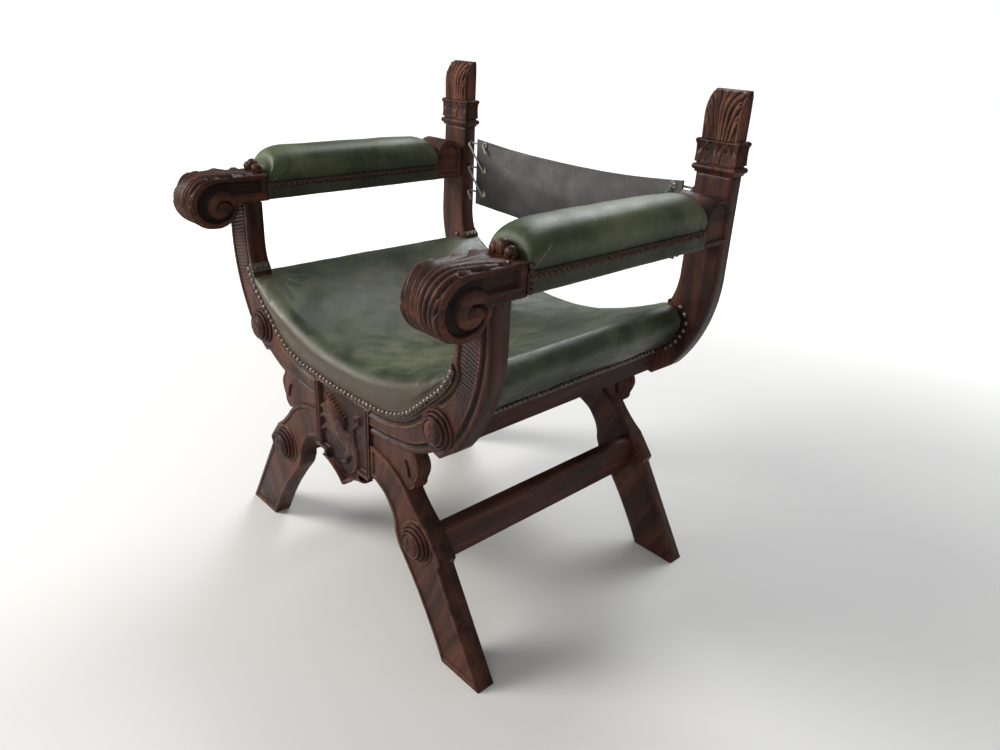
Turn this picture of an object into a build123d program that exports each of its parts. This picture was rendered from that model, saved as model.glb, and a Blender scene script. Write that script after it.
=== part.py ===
from build123d import *
import os
from math import cos, hypot, pi, radians, sin, sqrt

# Carved oak armchair of the Savonarola pattern, in millimetres.
# X runs across the chair, +Y towards its back and +Z up. Right is +X.
# It is laid out with y = 0 on the front face of the front frame and z = 0 on the floor, and moved
# as a whole at the end, so that the origin lies under the middle of its bounding box.

# Points in lists are measured in from the inner edge of an upright and down from the underside
# of the arms, and so are the lengths whose names end in _in and _drop.

# ---- the two frames ----
half_width = 358.0  # centre plane to the outer face of an upright
timber_width = 68.0  # an upright, seen from the front
frame_pitch = 505.0  # front face of the front frame to front face of the rear frame
front_thick = 33.0
rear_thick = 32.0
post_taper = 5.0  # what the rear posts lose from their front face by the top
taper_drop = 101.0  # where that taper begins
arm_under = 641.0
post_rise = 105.0  # from the arms up to the carved cap
block_half = 82.0  # half width of the centre blocks
shoulder_drop = 239.0  # top of the timber where it leaves the centre block
block_under_drop = 301.0
block_bottom_drop = 389.0
dip = 4.0  # what the seat edge sinks further by the middle of the block
panel_margin = 11.0  # plain border round the sunk panels
panel_depth = 2.2
fit_gap = 0.3  # room left round soft parts

# ---- upper half of a frame: elbow, lug and seat curve ----
elbow_radius = 280.0
elbow_drop = 63.0
lug_angle = 40.0  # how far the elbow turns before it meets the lug
lug_points = [(32.0, 268.0), (47.0, 264.0), (125.0, 293.0)]  # tip, root, under the seat
seat_side_points = [(0.0, 69.0), (9.0, 113.0), (34.0, 151.0)]  # each list is one arc
seat_bend_points = [(87.0, 198.0), (112.0, 217.0), (142.0, 230.0)]
seat_flat_bulge = (0.0, -2.5)  # of an arc, from the middle of its chord

# ---- legs ----
leg_top_drop = 323.0  # upper edge of a leg at the centre block
leg_under_drop = 381.0
leg_crest_points = [(112.0, 361.0), (87.0, 389.0), (58.0, 412.0)]
crest_bulge = (5.0, 9.0)
knee_points = [(58.0, 412.0), (25.0, 454.0), (30.0, 467.0)]
arch_points = [(142.0, 453.0), (143.0, 441.0)]
arch_bulge = (10.5, 15.0)
foot_flare = 6.0  # what a foot stands out past the upright
foot_in = 17.0
shin_in = 68.0
shin_bow = 1.0

# ---- stepped roundels ----
roundel_points = [(32.0, 219.0), (84.5, 445.0)]
roundel_radius = 33.0
roundel_steps = 4
step_width = 4.6
step_rise = 3.6
boss_rise = 3.0
boss_cut = 2.6

# ---- scroll ears between the arches ----
ear_set_back = 4.0
ear_thick = 25.0
ear_lobe_points = [(91.0, 275.0), (94.0, 291.0), (83.0, 313.0), (92.0, 341.0)]
ear_toe_points = [(92.0, 341.0), (94.0, 350.0), (106.0, 360.0), (150.0, 345.0)]
ear_overlap = (6.0, 8.0)  # how far an ear reaches past the block's edges, above and below
ear_slot_out = 33.0  # from the side of the centre block
ear_slot_drop = 312.0
ear_slot_radius = 4.0

# ---- cartouche on the front centre block ----
cartouche_thick = 9.0
strip_width = 12.0
strip_proud = 2.0
ground_depth = 5.0  # the carved ground lies this far behind the face of the frame
cartouche_head = 24.0  # plain head above the ground, which takes the seat nails
cusp_width = 28.0
cusp_step = 8.0
shield_steps = [(16.0, 15.0), (44.0, 22.0)]  # shoulder and curve, from the block's lower corner
shield_hang = 49.0
lip_width = 7.0
lip_proud = 6.0
foot_back = 7.0  # how far the pointed foot is thickened under the block

# ---- stretchers and seat rails ----
stretcher_in = 70.0
stretcher_width = 26.0
stretcher_height = 62.0
stretcher_drop = 419.0
stretcher_bevel = 4.0
rail_in = 31.0
rail_width = 28.0
rail_height = 48.0
rail_drop = 211.0
tenon_length = 16.0
tenon_shoulder = 7.0
arm_tenon = 20.0
dowel_radius = 6.0
dowel_length = 50.0

# ---- webbing, stuffing and leather of the seat ----
web_thick = 2.0
web_width = 50.0
web_pitch = 66.0
web_count = 7
leather_thick = 2.6
crown_drop = 197.0  # top of the seat in the middle
crown_side_points = [(190.0, 188.0), (90.0, 157.0), (28.0, 133.0)]
crest_points = [(2.0, 125.0), (-15.0, 136.0), (-21.0, 155.0), (-9.0, 183.0)]
flange_cover = 4.0  # from the top of the rail down to where the side leather meets it
flange_width = 12.0
edge_roll = 14.0  # rounding of the crown's front and rear edges
flange_end_drop = 107.0  # how far it climbs the inner edge of an upright
flange_drop = 13.0  # leather turned down over the faces of the timber
nail_drop = 8.0
nail_radius = 4.7
nail_rise = 3.2
nail_pitch = 10.6
nail_slope = 38.0
nail_sides = 5
nail_lift = 0.05
corner_nails = 3
rear_nails = 8  # on the face of each rear post, round the end of the side roll

# ---- arms ----
arm_width = 75.0
arm_overhang = 11.0  # past the outer face of an upright
arm_end = 49.0  # rear end of the scroll block
arm_height = 47.0
head_at = (-50.0, 4.0)  # along y, and up from the underside of the arms
head_close = -8.0
coil_at = (-42.0, -0.5)
panel_foot = 17.0
panel_height = 20.0
panel_end = 37.0
coil_depth = 5.0
groove_radius = 27.5
groove_fall = 5.0
groove_half = 10.0
groove_last = 1.5
groove_sweep = 240.0
groove_steps = 8
eye_radius = 11.0
eye_half = 1.3
eye_sweep = 250.0
arm_rail_rise = 2.0
arm_rail_height = 29.0
bracket_reach = 65.0  # from the frame forward to the end of the pad
pad_low_half = 37.0
pad_bulge = 3.5
pad_side = 42.0
pad_height = 57.0
pad_end_radius = 15.0
bud_radius = 8.5
bud_pitch = 14.0
bud_front = 35.0
bud_height = 22.0
bracket_half = 34.0
bracket_rim = 9.0
bracket_sink = 2.2

# ---- caps and finials on the rear posts ----
cap_base = 4.0
cap_bead = 8.0
cap_bead_proud = 6.0
cap_neck = 4.0
drum_height = 32.0
drum_proud = 4.0
cap_rim = 6.0
niche_width = 18.0
niche_height = 27.0
niche_sink = 3.0
finial_half = 32.0
finial_height = 75.0
finial_shoulder_rise = 34.0
finial_set_back = 3.0  # from the front of the frame
finial_thick = 30.0
finial_point = 7.0
finial_corner = 9.0

# ---- back sling and its lacing ----
sling_gap = 28.0  # from an upright to the end of the sling
sling_thick = 3.0
sling_sag = 17.0  # how far its middle lies behind its ends
sling_below = 21.0  # from the cap down to the corner of the sling
sling_height = 136.0
sling_dip = 11.0
eyelet_inset = 21.0
eyelet_steps = (133.0, 82.0, 32.0)  # down from the cap
eyelet_bore = 4.0
eyelet_wall = 0.8
eyelet_rim = 7.5
eyelet_flange = 1.0
eyelet_fit = 0.05
staple_reach = 9.0
staple_half = 5.0
staple_wire = 1.3
staple_root = 6.0
lace_radius = 1.5
lace_stand = 6.0  # how far the lace stands off the middle of the sling
lace_bend = 3.0
lace_tail = (12.0, 16.0)


def hung(points):
    return [(inner_x - inward, arm_under - down) for inward, down in points]


def bulged(start, end, out):
    # start, middle and end of an arc
    return [start, ((start[0] + end[0]) / 2 + out[0], (start[1] + end[1]) / 2 + out[1]), end]


# ---- places that follow from those sizes ----
inner_x = half_width - timber_width
upright_mid = half_width - timber_width / 2
rear_face = frame_pitch + rear_thick
post_top = arm_under + post_rise
taper_start = arm_under - taper_drop
block_shoulder = arm_under - shoulder_drop
seat_dip = block_shoulder - dip
block_under = arm_under - block_under_drop
block_bottom = arm_under - block_bottom_drop
leg_top = arm_under - leg_top_drop
leg_under = arm_under - leg_under_drop

elbow_height = arm_under - elbow_drop
elbow_centre = (half_width - elbow_radius, elbow_height)
lug_tip, lug_root, under_curve = hung(lug_points)
seat_side = hung(seat_side_points)
seat_bend = hung(seat_bend_points)
seat_flat = bulged(seat_bend[-1], (block_half, block_shoulder), seat_flat_bulge)[1:]
leg_crest = hung(leg_crest_points)
leg_crest = bulged((block_half, leg_top), leg_crest[0], crest_bulge)[1:] + leg_crest[1:]
knee = hung(knee_points)
arch = hung(arch_points)
arch = arch[:1] + bulged(arch[1], (block_half, leg_under), arch_bulge)
foot_outer = half_width + foot_flare
foot_inner = inner_x - foot_in
shin_mid = (inner_x - shin_in, arch[0][1] / 2 - shin_bow)
upper_roundel, lower_roundel = hung(roundel_points)
ear_lobe = hung(ear_lobe_points)
ear_toe = hung(ear_toe_points)
ear_slot = (block_half + ear_slot_out, arm_under - ear_slot_drop)

cusp_in = block_half - cusp_width
shoulder, shield_curve = [(block_half - inward, block_bottom - down) for inward, down in shield_steps]
shield_tip = block_bottom - shield_hang
stretcher_x = inner_x - stretcher_in
stretcher_high = arm_under - stretcher_drop
stretcher_low = stretcher_high - stretcher_height
rail_out = inner_x - rail_in
rail_high = arm_under - rail_drop
rail_low = rail_high - rail_height

crown_mid = arm_under - crown_drop
crown_points = hung(crown_side_points)
crest, *roll_upper, roll_lower = hung(crest_points)
flange_top = rail_high - flange_cover
flange_low = flange_top - flange_width
flange_high = arm_under - flange_end_drop

arm_out = half_width + arm_overhang
arm_top = arm_under + arm_height
head_centre = (head_at[0], arm_under + head_at[1])
coil_centre = (coil_at[0], arm_under + coil_at[1])
panel_low = arm_under + panel_foot
panel_high = panel_low + panel_height
arm_rail_low = arm_under + arm_rail_rise
arm_rail_top = arm_rail_low + arm_rail_height
pad_end = frame_pitch - bracket_reach
pad_shoulder = arm_rail_top + pad_side
pad_top = arm_rail_top + pad_height

drum_top = post_top + cap_base + cap_bead + cap_neck + drum_height
cap_top = drum_top + cap_rim
finial_top = cap_top + finial_height
finial_shoulder = cap_top + finial_shoulder_rise
finial_front = frame_pitch + finial_set_back
finial_back = finial_front + finial_thick
sling_y = frame_pitch + rear_thick / 2
sling_half = inner_x - sling_gap
sling_high = post_top - sling_below
sling_low = sling_high - sling_height
eyelet_x = sling_half - eyelet_inset
eyelet_heights = [post_top - down for down in eyelet_steps]

pieces = {}


def keep(name, shape):
    pieces[name] = shape


def mirrored(shape):
    return mirror(shape, about=Plane.YZ)


def keep_pair(name, right_shape):
    pieces[name + "_right"] = right_shape
    pieces[name + "_left"] = mirrored(right_shape)


def plate(outline, y_front, y_back):
    # an outline drawn in x and z, given its thickness front to back
    flat = Pos(0, y_front, 0) * (Plane.XZ * outline)
    return extrude(flat, amount=y_back - y_front, dir=(0, 1, 0))


def slab(outline, x_low, x_high):
    # an outline drawn in y and z, given its width across the chair
    flat = Pos(x_low, 0, 0) * (Plane.YZ * outline)
    return extrude(flat, amount=x_high - x_low, dir=(1, 0, 0))


def block(x_low, x_high, y_low, y_high, z_low, z_high):
    box = Box(x_high - x_low, y_high - y_low, z_high - z_low)
    return Pos((x_low + x_high) / 2, (y_low + y_high) / 2, (z_low + z_high) / 2) * box


def bar_along_y(centre, radius, y_low, y_high):
    return plate(Pos(*centre) * Circle(radius), y_low, y_high)


def closed(*edges):
    return make_face(Curve() + list(edges))


def joined(*edges):
    return Wire.combine((Curve() + list(edges)).edges())[0]


def polygon(*points):
    return make_face(Polyline(*points, close=True))


def window(x_low, x_high, z_low, z_high):
    return polygon((x_low, z_low), (x_high, z_low), (x_high, z_high), (x_low, z_high))


def crossed(points):
    return [(-x, z) for x, z in reversed(points)]


# ---- outlines shared by the front and rear frames ----
def lifted(points, rise):
    # a run of points moved off the timber, square to the run
    moved = []
    for number, (x, z) in enumerate(points):
        before = points[max(number - 1, 0)]
        after = points[min(number + 1, len(points) - 1)]
        step = (after[0] - before[0], after[1] - before[1])
        length = hypot(*step)
        moved.append((x + rise * step[1] / length, z - rise * step[0] / length))
    return moved


def seat_edges(rise=0.0):
    # the inner edge of one upright and half of the seat, from the top down to the centre
    above = (inner_x, seat_side[0][1] + timber_width)
    run = lifted([above] + seat_side + seat_bend + seat_flat + [(0, seat_dip)], rise)[1:-1]
    side = ThreePointArc(*run[0:3])
    bend = ThreePointArc(*run[3:6])
    flat = ThreePointArc(*run[5:8])
    return [side, Line(run[2], run[3]), bend, flat]


def centre_edge(rise=0.0):
    right = seat_edges(rise)[-1] @ 1
    return ThreePointArc((-right.X, right.Y), (0, seat_dip + rise), (right.X, right.Y))


def upper_outline(top):
    turn = radians(lug_angle)
    lug_top = (elbow_centre[0] + elbow_radius * cos(turn), elbow_centre[1] - elbow_radius * sin(turn))
    mid = (elbow_centre[0] + elbow_radius * cos(turn / 2), elbow_centre[1] - elbow_radius * sin(turn / 2))
    return closed(
        *seat_edges(),
        Line((block_half, block_shoulder), (block_half, block_under)),
        ThreePointArc((block_half, block_under), under_curve, lug_root),
        Polyline(lug_root, lug_tip, lug_top),
        ThreePointArc(lug_top, mid, (half_width, elbow_height)),
        Polyline((half_width, elbow_height), (half_width, top), (inner_x, top), seat_side[0]),
    )


def leg_outline():
    return closed(
        ThreePointArc((block_half, leg_top), leg_crest[0], leg_crest[1]),
        ThreePointArc(*leg_crest[1:]),
        Polyline(*knee, (foot_outer, 0), (foot_inner, 0)),
        ThreePointArc((foot_inner, 0), shin_mid, arch[0]),
        Line(arch[0], arch[1]),
        ThreePointArc(*arch[1:]),
        Line((block_half, leg_under), (block_half, leg_top)),
    )


def sunk_panel(outline, roundel):
    # an even border is left round the panel, and a plain ring round the roundel
    inner = offset(outline, amount=-panel_margin, kind=Kind.INTERSECTION)
    plain = Pos(*roundel) * Circle(roundel_radius + panel_margin / 2)
    return plate(inner - plain, -1, panel_depth)


# ---- joints ----
def frame_dowels(y_face, thick):
    # dowels across the joints between the members of a frame and its centre block
    heights = ((block_under + block_shoulder) / 2, (leg_under + leg_top) / 2)
    peg = Rot(0, 90, 0) * Cylinder(dowel_radius, dowel_length)
    right = [Pos(block_half, y_face + thick / 2, z) * peg for z in heights]
    return right + [mirrored(peg) for peg in right]


def stretcher_tenon():
    half = stretcher_width / 2 - tenon_shoulder
    low, high = stretcher_low + tenon_shoulder, stretcher_high - tenon_shoulder
    ends = (front_thick - tenon_length, frame_pitch + tenon_length)
    return block(stretcher_x - half, stretcher_x + half, *ends, low, high)


def rail_tenon():
    low, high = rail_low + tenon_shoulder, rail_high - tenon_shoulder
    ends = (front_thick - tenon_length, frame_pitch + tenon_length)
    return block(rail_out - rail_width + tenon_shoulder, rail_out - tenon_shoulder, *ends, low, high)


def arm_tenons():
    side, margin = timber_width / 2 - tenon_shoulder * 2, front_thick / 4
    return block(
        upright_mid - side, upright_mid + side, margin, front_thick - margin, arm_under, arm_under + arm_tenon
    )


# ---- the frames ----
def build_frames():
    upright, post, leg = upper_outline(arm_under), upper_outline(post_top), leg_outline()
    front_pegs = frame_dowels(0, front_thick)
    rear_pegs = frame_dowels(frame_pitch, rear_thick)

    front_upright = plate(upright, 0, front_thick) - sunk_panel(upright, upper_roundel)
    keep_pair("front_upright", front_upright + arm_tenons() - rail_tenon() - front_pegs)
    front_leg = plate(leg, 0, front_thick) - sunk_panel(leg, lower_roundel)
    keep_pair("front_leg", front_leg - stretcher_tenon() - front_pegs)

    taper = polygon((frame_pitch, taper_start), (frame_pitch + post_taper, post_top), (frame_pitch, post_top))
    staples = [staple(z) for z in eyelet_heights]
    rear_post = plate(post, frame_pitch, rear_face) - slab(taper, inner_x - 1, half_width + 1)
    keep_pair("rear_post", rear_post - rail_tenon() - rear_pegs - staples)
    keep_pair("rear_leg", plate(leg, frame_pitch, rear_face) - stretcher_tenon() - rear_pegs)

    members = upright + leg
    ear = ear_outline() - members - Pos(*ear_slot) * Circle(ear_slot_radius)
    for name, face in (("front_ear", 0), ("rear_ear", frame_pitch)):
        keep_pair(name, plate(ear, face + ear_set_back, face + ear_set_back + ear_thick))

    keep("front_centre_block", centre_block(cartouche_thick, front_thick) - front_pegs)
    keep("rear_centre_block", centre_block(frame_pitch, rear_face) - rear_pegs)
    keep("frame_dowels", Compound(children=front_pegs + rear_pegs))


def ear_outline():
    head = (block_half, block_under + ear_overlap[0])
    foot = (block_half, leg_top - ear_overlap[1])
    return closed(
        Line(head, ear_lobe[0]),
        Spline(*ear_lobe),
        Spline(*ear_toe[:3]),
        Polyline(*ear_toe[2:], foot, head),
    )


def centre_block(y_low, y_high):
    sides = Polyline(
        (block_half, block_shoulder),
        (block_half, block_bottom),
        (-block_half, block_bottom),
        (-block_half, block_shoulder),
    )
    return plate(closed(centre_edge(), sides), y_low, y_high)


# ---- carved cartouche: ground, side strips, head, cusps and the lip along its pointed foot ----
def shield_edge(rise):
    start, tip = (shoulder[0], shoulder[1] + rise), (0, shield_tip + rise)
    return ThreePointArc(start, (shield_curve[0], shield_curve[1] + rise), tip)


def build_cartouche():
    cusp_z = block_bottom - cusp_step
    strip_in = block_half - strip_width
    right = [(block_half, block_shoulder), (block_half, block_bottom), (cusp_in, block_bottom)]
    right = right + [(cusp_in, cusp_z), shoulder]
    lower = shield_edge(0)
    body = closed(centre_edge(), Polyline(*right), lower, mirrored(lower), Polyline(*crossed(right)))
    foot = body & window(-block_half, block_half, 0, block_bottom)
    panel = window(-strip_in, strip_in, 0, block_shoulder - cartouche_head)

    ground = plate(body, ground_depth, cartouche_thick)
    head = plate(body - panel - foot, 0, ground_depth)
    backing = plate(foot, cartouche_thick, cartouche_thick + foot_back)
    strip = block(strip_in, block_half - 1, -strip_proud, 0, block_bottom, block_shoulder - cartouche_head)
    cusp = block(
        cusp_in - lip_width, block_half - 1,
        -lip_proud, ground_depth, block_bottom, block_bottom + cusp_step / 2,
    )
    hook = block(cusp_in - lip_width, cusp_in, -lip_proud, ground_depth, cusp_z, block_bottom)
    raised = shield_edge(lip_width)
    ends = [Line(lower @ 0, raised @ 0), Line(lower @ 1, raised @ 1)]
    lip = plate(closed(lower, ends[1], raised, ends[0]) & body, -lip_proud, ground_depth)
    ornament = strip + cusp + hook + lip
    keep("cartouche", ground + head + backing + ornament + mirrored(ornament))


# ---- stepped roundels with a quartered boss ----
def roundel(centre):
    discs = []
    for step in range(roundel_steps + 1):
        radius = roundel_radius - step * step_width
        rise = boss_rise if step == roundel_steps else step_rise
        foot = -step_rise * step
        discs.append(bar_along_y(centre, radius, foot - rise, foot))
    x, z = centre
    rim = -step_rise * roundel_steps
    reach, half = roundel_radius, boss_cut / 2
    across = block(x - reach, x + reach, rim - boss_rise - 1, rim, z - half, z + half)
    upright = block(x - half, x + half, rim - boss_rise - 1, rim, z - reach, z + reach)
    return discs[0] + discs[1] + discs[2] + discs[3] + (discs[4] - across - upright)


# ---- rails between the frames ----
def build_rails():
    half = stretcher_width / 2
    rail = block(
        stretcher_x - half, stretcher_x + half, front_thick, frame_pitch, stretcher_low, stretcher_high
    )
    rail = chamfer(rail.edges().filter_by(Axis.Y).group_by(Axis.Z)[-1], length=stretcher_bevel)
    keep_pair("stretcher", rail + stretcher_tenon())
    side = block(rail_out - rail_width, rail_out, front_thick, frame_pitch, rail_low, rail_high)
    keep_pair("side_rail", side + rail_tenon())


# ---- seat: webbing, stuffing, leather and nails ----
def bowl(rise):
    # everything above the seat edges of a frame, lifted off them
    right = seat_edges(rise)
    top = right[0] @ 0
    left = [mirrored(edge) for edge in right]
    return closed(*right, centre_edge(rise), *left, Line((-top.X, top.Y), (top.X, top.Y)))


def crown_line(inset):
    left = crossed(crown_points + [crest])
    points = left + [(0, crown_mid)] + crown_points + [crest]
    return Spline(*[(x, z - inset) for x, z in points])


def crown(inset):
    # the section across the seat between the frames, from rail to rail over the crown
    top = crown_line(inset)
    middle, low = [(x - inset, z - inset) for x, z in roll_upper]
    upper = ThreePointArc(top @ 1, middle, low)
    face_x = rail_out + fit_gap + leather_thick - inset
    lower = ThreePointArc(upper @ 1, (roll_lower[0] - inset, roll_lower[1] + inset / 2), (face_x, flange_top))
    base = Polyline((face_x, flange_top), (face_x, rail_low), (-face_x, rail_low), (-face_x, flange_top))
    return closed(top, upper, lower, base, mirrored(upper), mirrored(lower))


def between_frames(inset, gap):
    # that section with its underside on the webbing and the rails
    above_rail = window(rail_out - rail_width, half_width, rail_high + gap, crest[1])
    beside_rail = window(rail_out + gap, half_width, flange_low, crest[1])
    room = bowl(web_thick + 2 * gap) + above_rail + mirrored(above_rail)
    room = room + beside_rail + mirrored(beside_rail)
    return crown(inset) & room


def over_frames(inset, gap):
    # the part between the uprights, its front and rear edges rolled over
    top = crown_line(inset)
    end, floor = top @ 1, block_shoulder - timber_width
    under = Polyline((end.X, end.Y), (end.X, floor), (-end.X, floor), (-end.X, end.Y))
    front, rear = -leather_thick - fit_gap + inset, rear_face + leather_thick + fit_gap - inset
    full = plate(closed(top, under), front, rear)
    faces = full.faces().sort_by(Axis.Y)
    rims = [face.edges().filter_by(GeomType.BSPLINE)[0] for face in (faces[0], faces[-1])]
    return fillet(rims, radius=edge_roll - inset) & plate(bowl(web_thick + 2 * gap), front, rear)


def seat_body(inset, gap):
    middle = plate(between_frames(inset, gap), front_thick + fit_gap, frame_pitch - fit_gap)
    return middle + over_frames(inset, gap)


def seat_flange():
    # the leather turned down over the face of the timber
    above = bowl(web_thick + 2 * fit_gap + leather_thick)
    return (bowl(-flange_drop) - above) & window(-inner_x, inner_x, rail_low - flange_drop, flange_high)


def build_seat():
    rear = rear_face + fit_gap + leather_thick
    flange = seat_flange()
    inner = leather_thick
    leather = seat_body(0, fit_gap) - seat_body(inner, -1)
    leather = leather + plate(flange, -fit_gap - leather_thick, -fit_gap) + plate(flange, rear - leather_thick, rear)
    keep("seat_leather", leather)
    keep("seat_stuffing", seat_body(inner + fit_gap, fit_gap))

    straps = []
    ribbon = bowl(fit_gap) - bowl(fit_gap + web_thick)
    for number in range(web_count):
        middle = (number - (web_count - 1) / 2) * web_pitch
        strap = ribbon & window(middle - web_width / 2, middle + web_width / 2, rail_low, crest[1])
        straps.append(plate(strap, 0, rear_face))
    keep("seat_webbing", Compound(children=straps))


def seat_walk():
    # places along the seat edge, evenly spaced from its middle, with the way into the timber
    right = seat_edges()
    path = joined(*[mirrored(edge) for edge in reversed(right)], centre_edge(), *right)
    count = int(path.length / nail_pitch / 2)
    walk = []
    for number in range(-count, count + 1):
        share = 0.5 + number * nail_pitch / path.length
        point, along = path.position_at(share), path.tangent_at(share)
        into = Vector(along.Y, -along.X, 0)
        if into.dot(point - Vector(0, post_top, 0)) < 0:
            into = into * -1
        walk.append((point, into))
    return walk


def roll_walk(share):
    # places down the outside of the side roll, with the way out of the leather
    upper = ThreePointArc(crest, roll_upper[0], roll_upper[1])
    lower = ThreePointArc(roll_upper[1], roll_lower, (rail_out + fit_gap + leather_thick, flange_top))
    path = joined(upper, lower)
    along = path.tangent_at(share)
    return path.position_at(share), Vector(-along.Y, along.X, 0)


def nail_at(x, y, z, facing):
    head = extrude(RegularPolygon(nail_radius, nail_sides), amount=nail_rise, taper=nail_slope)
    return Plane(origin=(x, y, z), z_dir=facing) * Pos(0, 0, nail_lift) * head


def evenly(start, end):
    count = int((end - start) / nail_pitch)
    return [start + (end - start) * number / count for number in range(count + 1)]


def build_seat_nails():
    leather_front = -fit_gap - leather_thick
    leather_rear = rear_face + fit_gap + leather_thick
    heads = []
    corner = None
    for point, into in seat_walk():
        spot = point + into * nail_drop
        if spot.Y < flange_high - nail_radius:
            heads.append(nail_at(spot.X, leather_front, spot.Y, (0, -1, 0)))
            heads.append(nail_at(spot.X, leather_rear, spot.Y, (0, 1, 0)))
        if point.X > 0 and point.Y > crest[1] + nail_radius * 2 and corner is None:
            corner = (point, into)
    side_x = rail_out + fit_gap + leather_thick
    side_z = (flange_top + flange_low) / 2
    right = [nail_at(side_x, y, side_z, (1, 0, 0)) for y in evenly(front_thick + 8, frame_pitch - 8)]
    point, into = corner
    for number in range(corner_nails):
        y = front_thick / 2 + (number - 1) * nail_pitch
        right.append(nail_at(point.X, y, point.Y, (-into.X, 0, -into.Y)))
    stand = nail_radius + fit_gap * 3
    for number in range(1, rear_nails + 1):
        point, away = roll_walk(number / (rear_nails + 1.5))
        spot = point + away * stand
        right.append(nail_at(spot.X, frame_pitch, spot.Y, (0, -1, 0)))
    heads += right + [mirrored(head) for head in right]
    keep("seat_nails", Compound(children=heads))


def build_arms():
    keep_pair("arm_scroll", arm_scroll())
    inner = arm_out - arm_width
    keep_pair("arm_rail", block(inner, arm_out, arm_end, pad_end, arm_rail_low, arm_rail_top))
    keep_pair("arm_pad", arm_pad())
    keep_pair("arm_bud", arm_bud())
    keep_pair("arm_bracket", arm_bracket())
    heads = []
    z = arm_rail_top - nail_radius - fit_gap
    for y in evenly(arm_end + nail_pitch, pad_end - nail_pitch):
        heads.append(nail_at(arm_out, y, z, (1, 0, 0)))
        heads.append(nail_at(inner, y, z, (-1, 0, 0)))
    keep("arm_nails", Compound(children=heads + [mirrored(head) for head in heads]))


# ---- scrolled arm end: sunk panel running into a volute on both sides ----
def groove(start, sweep, radius, fall, half_first, half_last):
    def spot(share, side):
        turn = radians(start + sweep * share)
        half = half_last + (half_first - half_last) * (1 - share) ** 3
        reach = radius - fall * share + side * half
        return (coil_centre[0] + reach * cos(turn), coil_centre[1] + reach * sin(turn))

    shares = [step / groove_steps for step in range(groove_steps + 1)]
    outer = Spline(*[spot(share, 1) for share in shares])
    inner = Spline(*[spot(share, -1) for share in shares])
    return closed(outer, Line(outer @ 1, inner @ 1), inner, Line(inner @ 0, outer @ 0))


def arm_scroll():
    y, z = head_centre
    radius = arm_top - z
    neck = z - sqrt(radius**2 - (head_close - y) ** 2)
    profile = closed(
        ThreePointArc((y, arm_top), (y - radius, z), (y, z - radius)),
        ThreePointArc(
            (y, z - radius),
            (y + radius * sin(pi / 4), z - radius * cos(pi / 4)),
            (head_close, neck),
        ),
        Polyline(
            (head_close, neck), (head_close, arm_under), (arm_end, arm_under), (arm_end, arm_top), (y, arm_top)
        ),
    )
    panel = window(coil_centre[0], panel_end, panel_low, panel_high)
    cut = panel + groove(90, groove_sweep, groove_radius, groove_fall, groove_half, groove_last)
    cut = cut + groove(-60, eye_sweep, eye_radius, 0, eye_half, eye_half)
    inner = arm_out - arm_width
    body = slab(profile, inner, arm_out)
    body = body - slab(cut, arm_out - coil_depth, arm_out + 1) - slab(cut, inner - 1, inner + coil_depth)
    return body - arm_tenons()


def arm_pad():
    low, high = arm_rail_top + fit_gap, pad_top
    centre = arm_out - arm_width / 2
    half = pad_low_half
    right = ThreePointArc((half, low), (half + pad_bulge, (low + pad_shoulder) / 2), (half - 1, pad_shoulder))
    top = ThreePointArc((half - 1, pad_shoulder), (0, high), (1 - half, pad_shoulder))
    section = closed(right, top, mirrored(right), Line((-half, low), (half, low)))
    start, end = arm_end + fit_gap, pad_end - fit_gap
    r = pad_end_radius
    bend = r * (1 - cos(pi / 4))
    side = closed(
        Polyline((start, high - r), (start, low), (end, low), (end, high - r)),
        ThreePointArc((end, high - r), (end - bend, high - bend), (end - r, high)),
        Line((end - r, high), (start + r, high)),
        ThreePointArc((start + r, high), (start + bend, high - bend), (start, high - r)),
    )
    return plate(Pos(centre, 0) * section, start, end) & slab(side, inner_x, arm_out + pad_bulge * 2)


def arm_bud():
    # three lobes side by side on the rear edge of the scroll block
    centre = arm_out - arm_width / 2
    top = arm_top + bud_height
    lobes = Pos(centre, top - bud_radius) * Circle(bud_radius)
    for side in (-1, 1):
        lobes = lobes + Pos(centre + side * bud_pitch, top - bud_radius * 1.5) * Circle(bud_radius)
    reach = bud_pitch + bud_radius - 2
    lobes = lobes + window(centre - reach, centre + reach, arm_top, top - bud_radius * 1.5)
    return plate(lobes, bud_front, arm_end)


def arm_bracket():
    middle = pad_end + bracket_half
    front = (pad_end, arm_rail_low)
    lean = post_taper / (post_top - taper_start)
    foot = (frame_pitch + (arm_rail_low - taper_start) * lean, arm_rail_low)
    heel = (frame_pitch + (arm_rail_top - taper_start) * lean, arm_rail_top)
    outline = closed(
        Polyline(heel, foot, front, (pad_end, arm_rail_top)),
        ThreePointArc((pad_end, arm_rail_top), (middle, arm_rail_top + bracket_half), heel),
    )
    r = bracket_half - bracket_rim
    low = arm_rail_low + bracket_rim
    panel = closed(
        Polyline((middle - r, arm_rail_top), (middle - r, low), (middle + r, low), (middle + r, arm_rail_top)),
        ThreePointArc((middle + r, arm_rail_top), (middle, arm_rail_top + r), (middle - r, arm_rail_top)),
    )
    body = slab(outline, inner_x, half_width)
    outer_cut = slab(panel, half_width - bracket_sink, half_width + 1)
    return body - outer_cut - slab(panel, inner_x - 1, inner_x + bracket_sink)


# ---- carved caps and leaf finials on the rear posts ----
def post_layer(z_low, z_high, proud):
    return block(
        inner_x - proud, half_width + proud,
        frame_pitch + post_taper - proud, rear_face + proud, z_low, z_high,
    )


def niche(at, z):
    # a round-headed sinking, drawn about its foot
    half = niche_width / 2
    rise = niche_height - half
    arc = ThreePointArc((at + half, z + rise), (at, z + rise + half), (at - half, z + rise))
    return closed(Polyline((at - half, z + rise), (at - half, z), (at + half, z), (at + half, z + rise)), arc)


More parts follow.
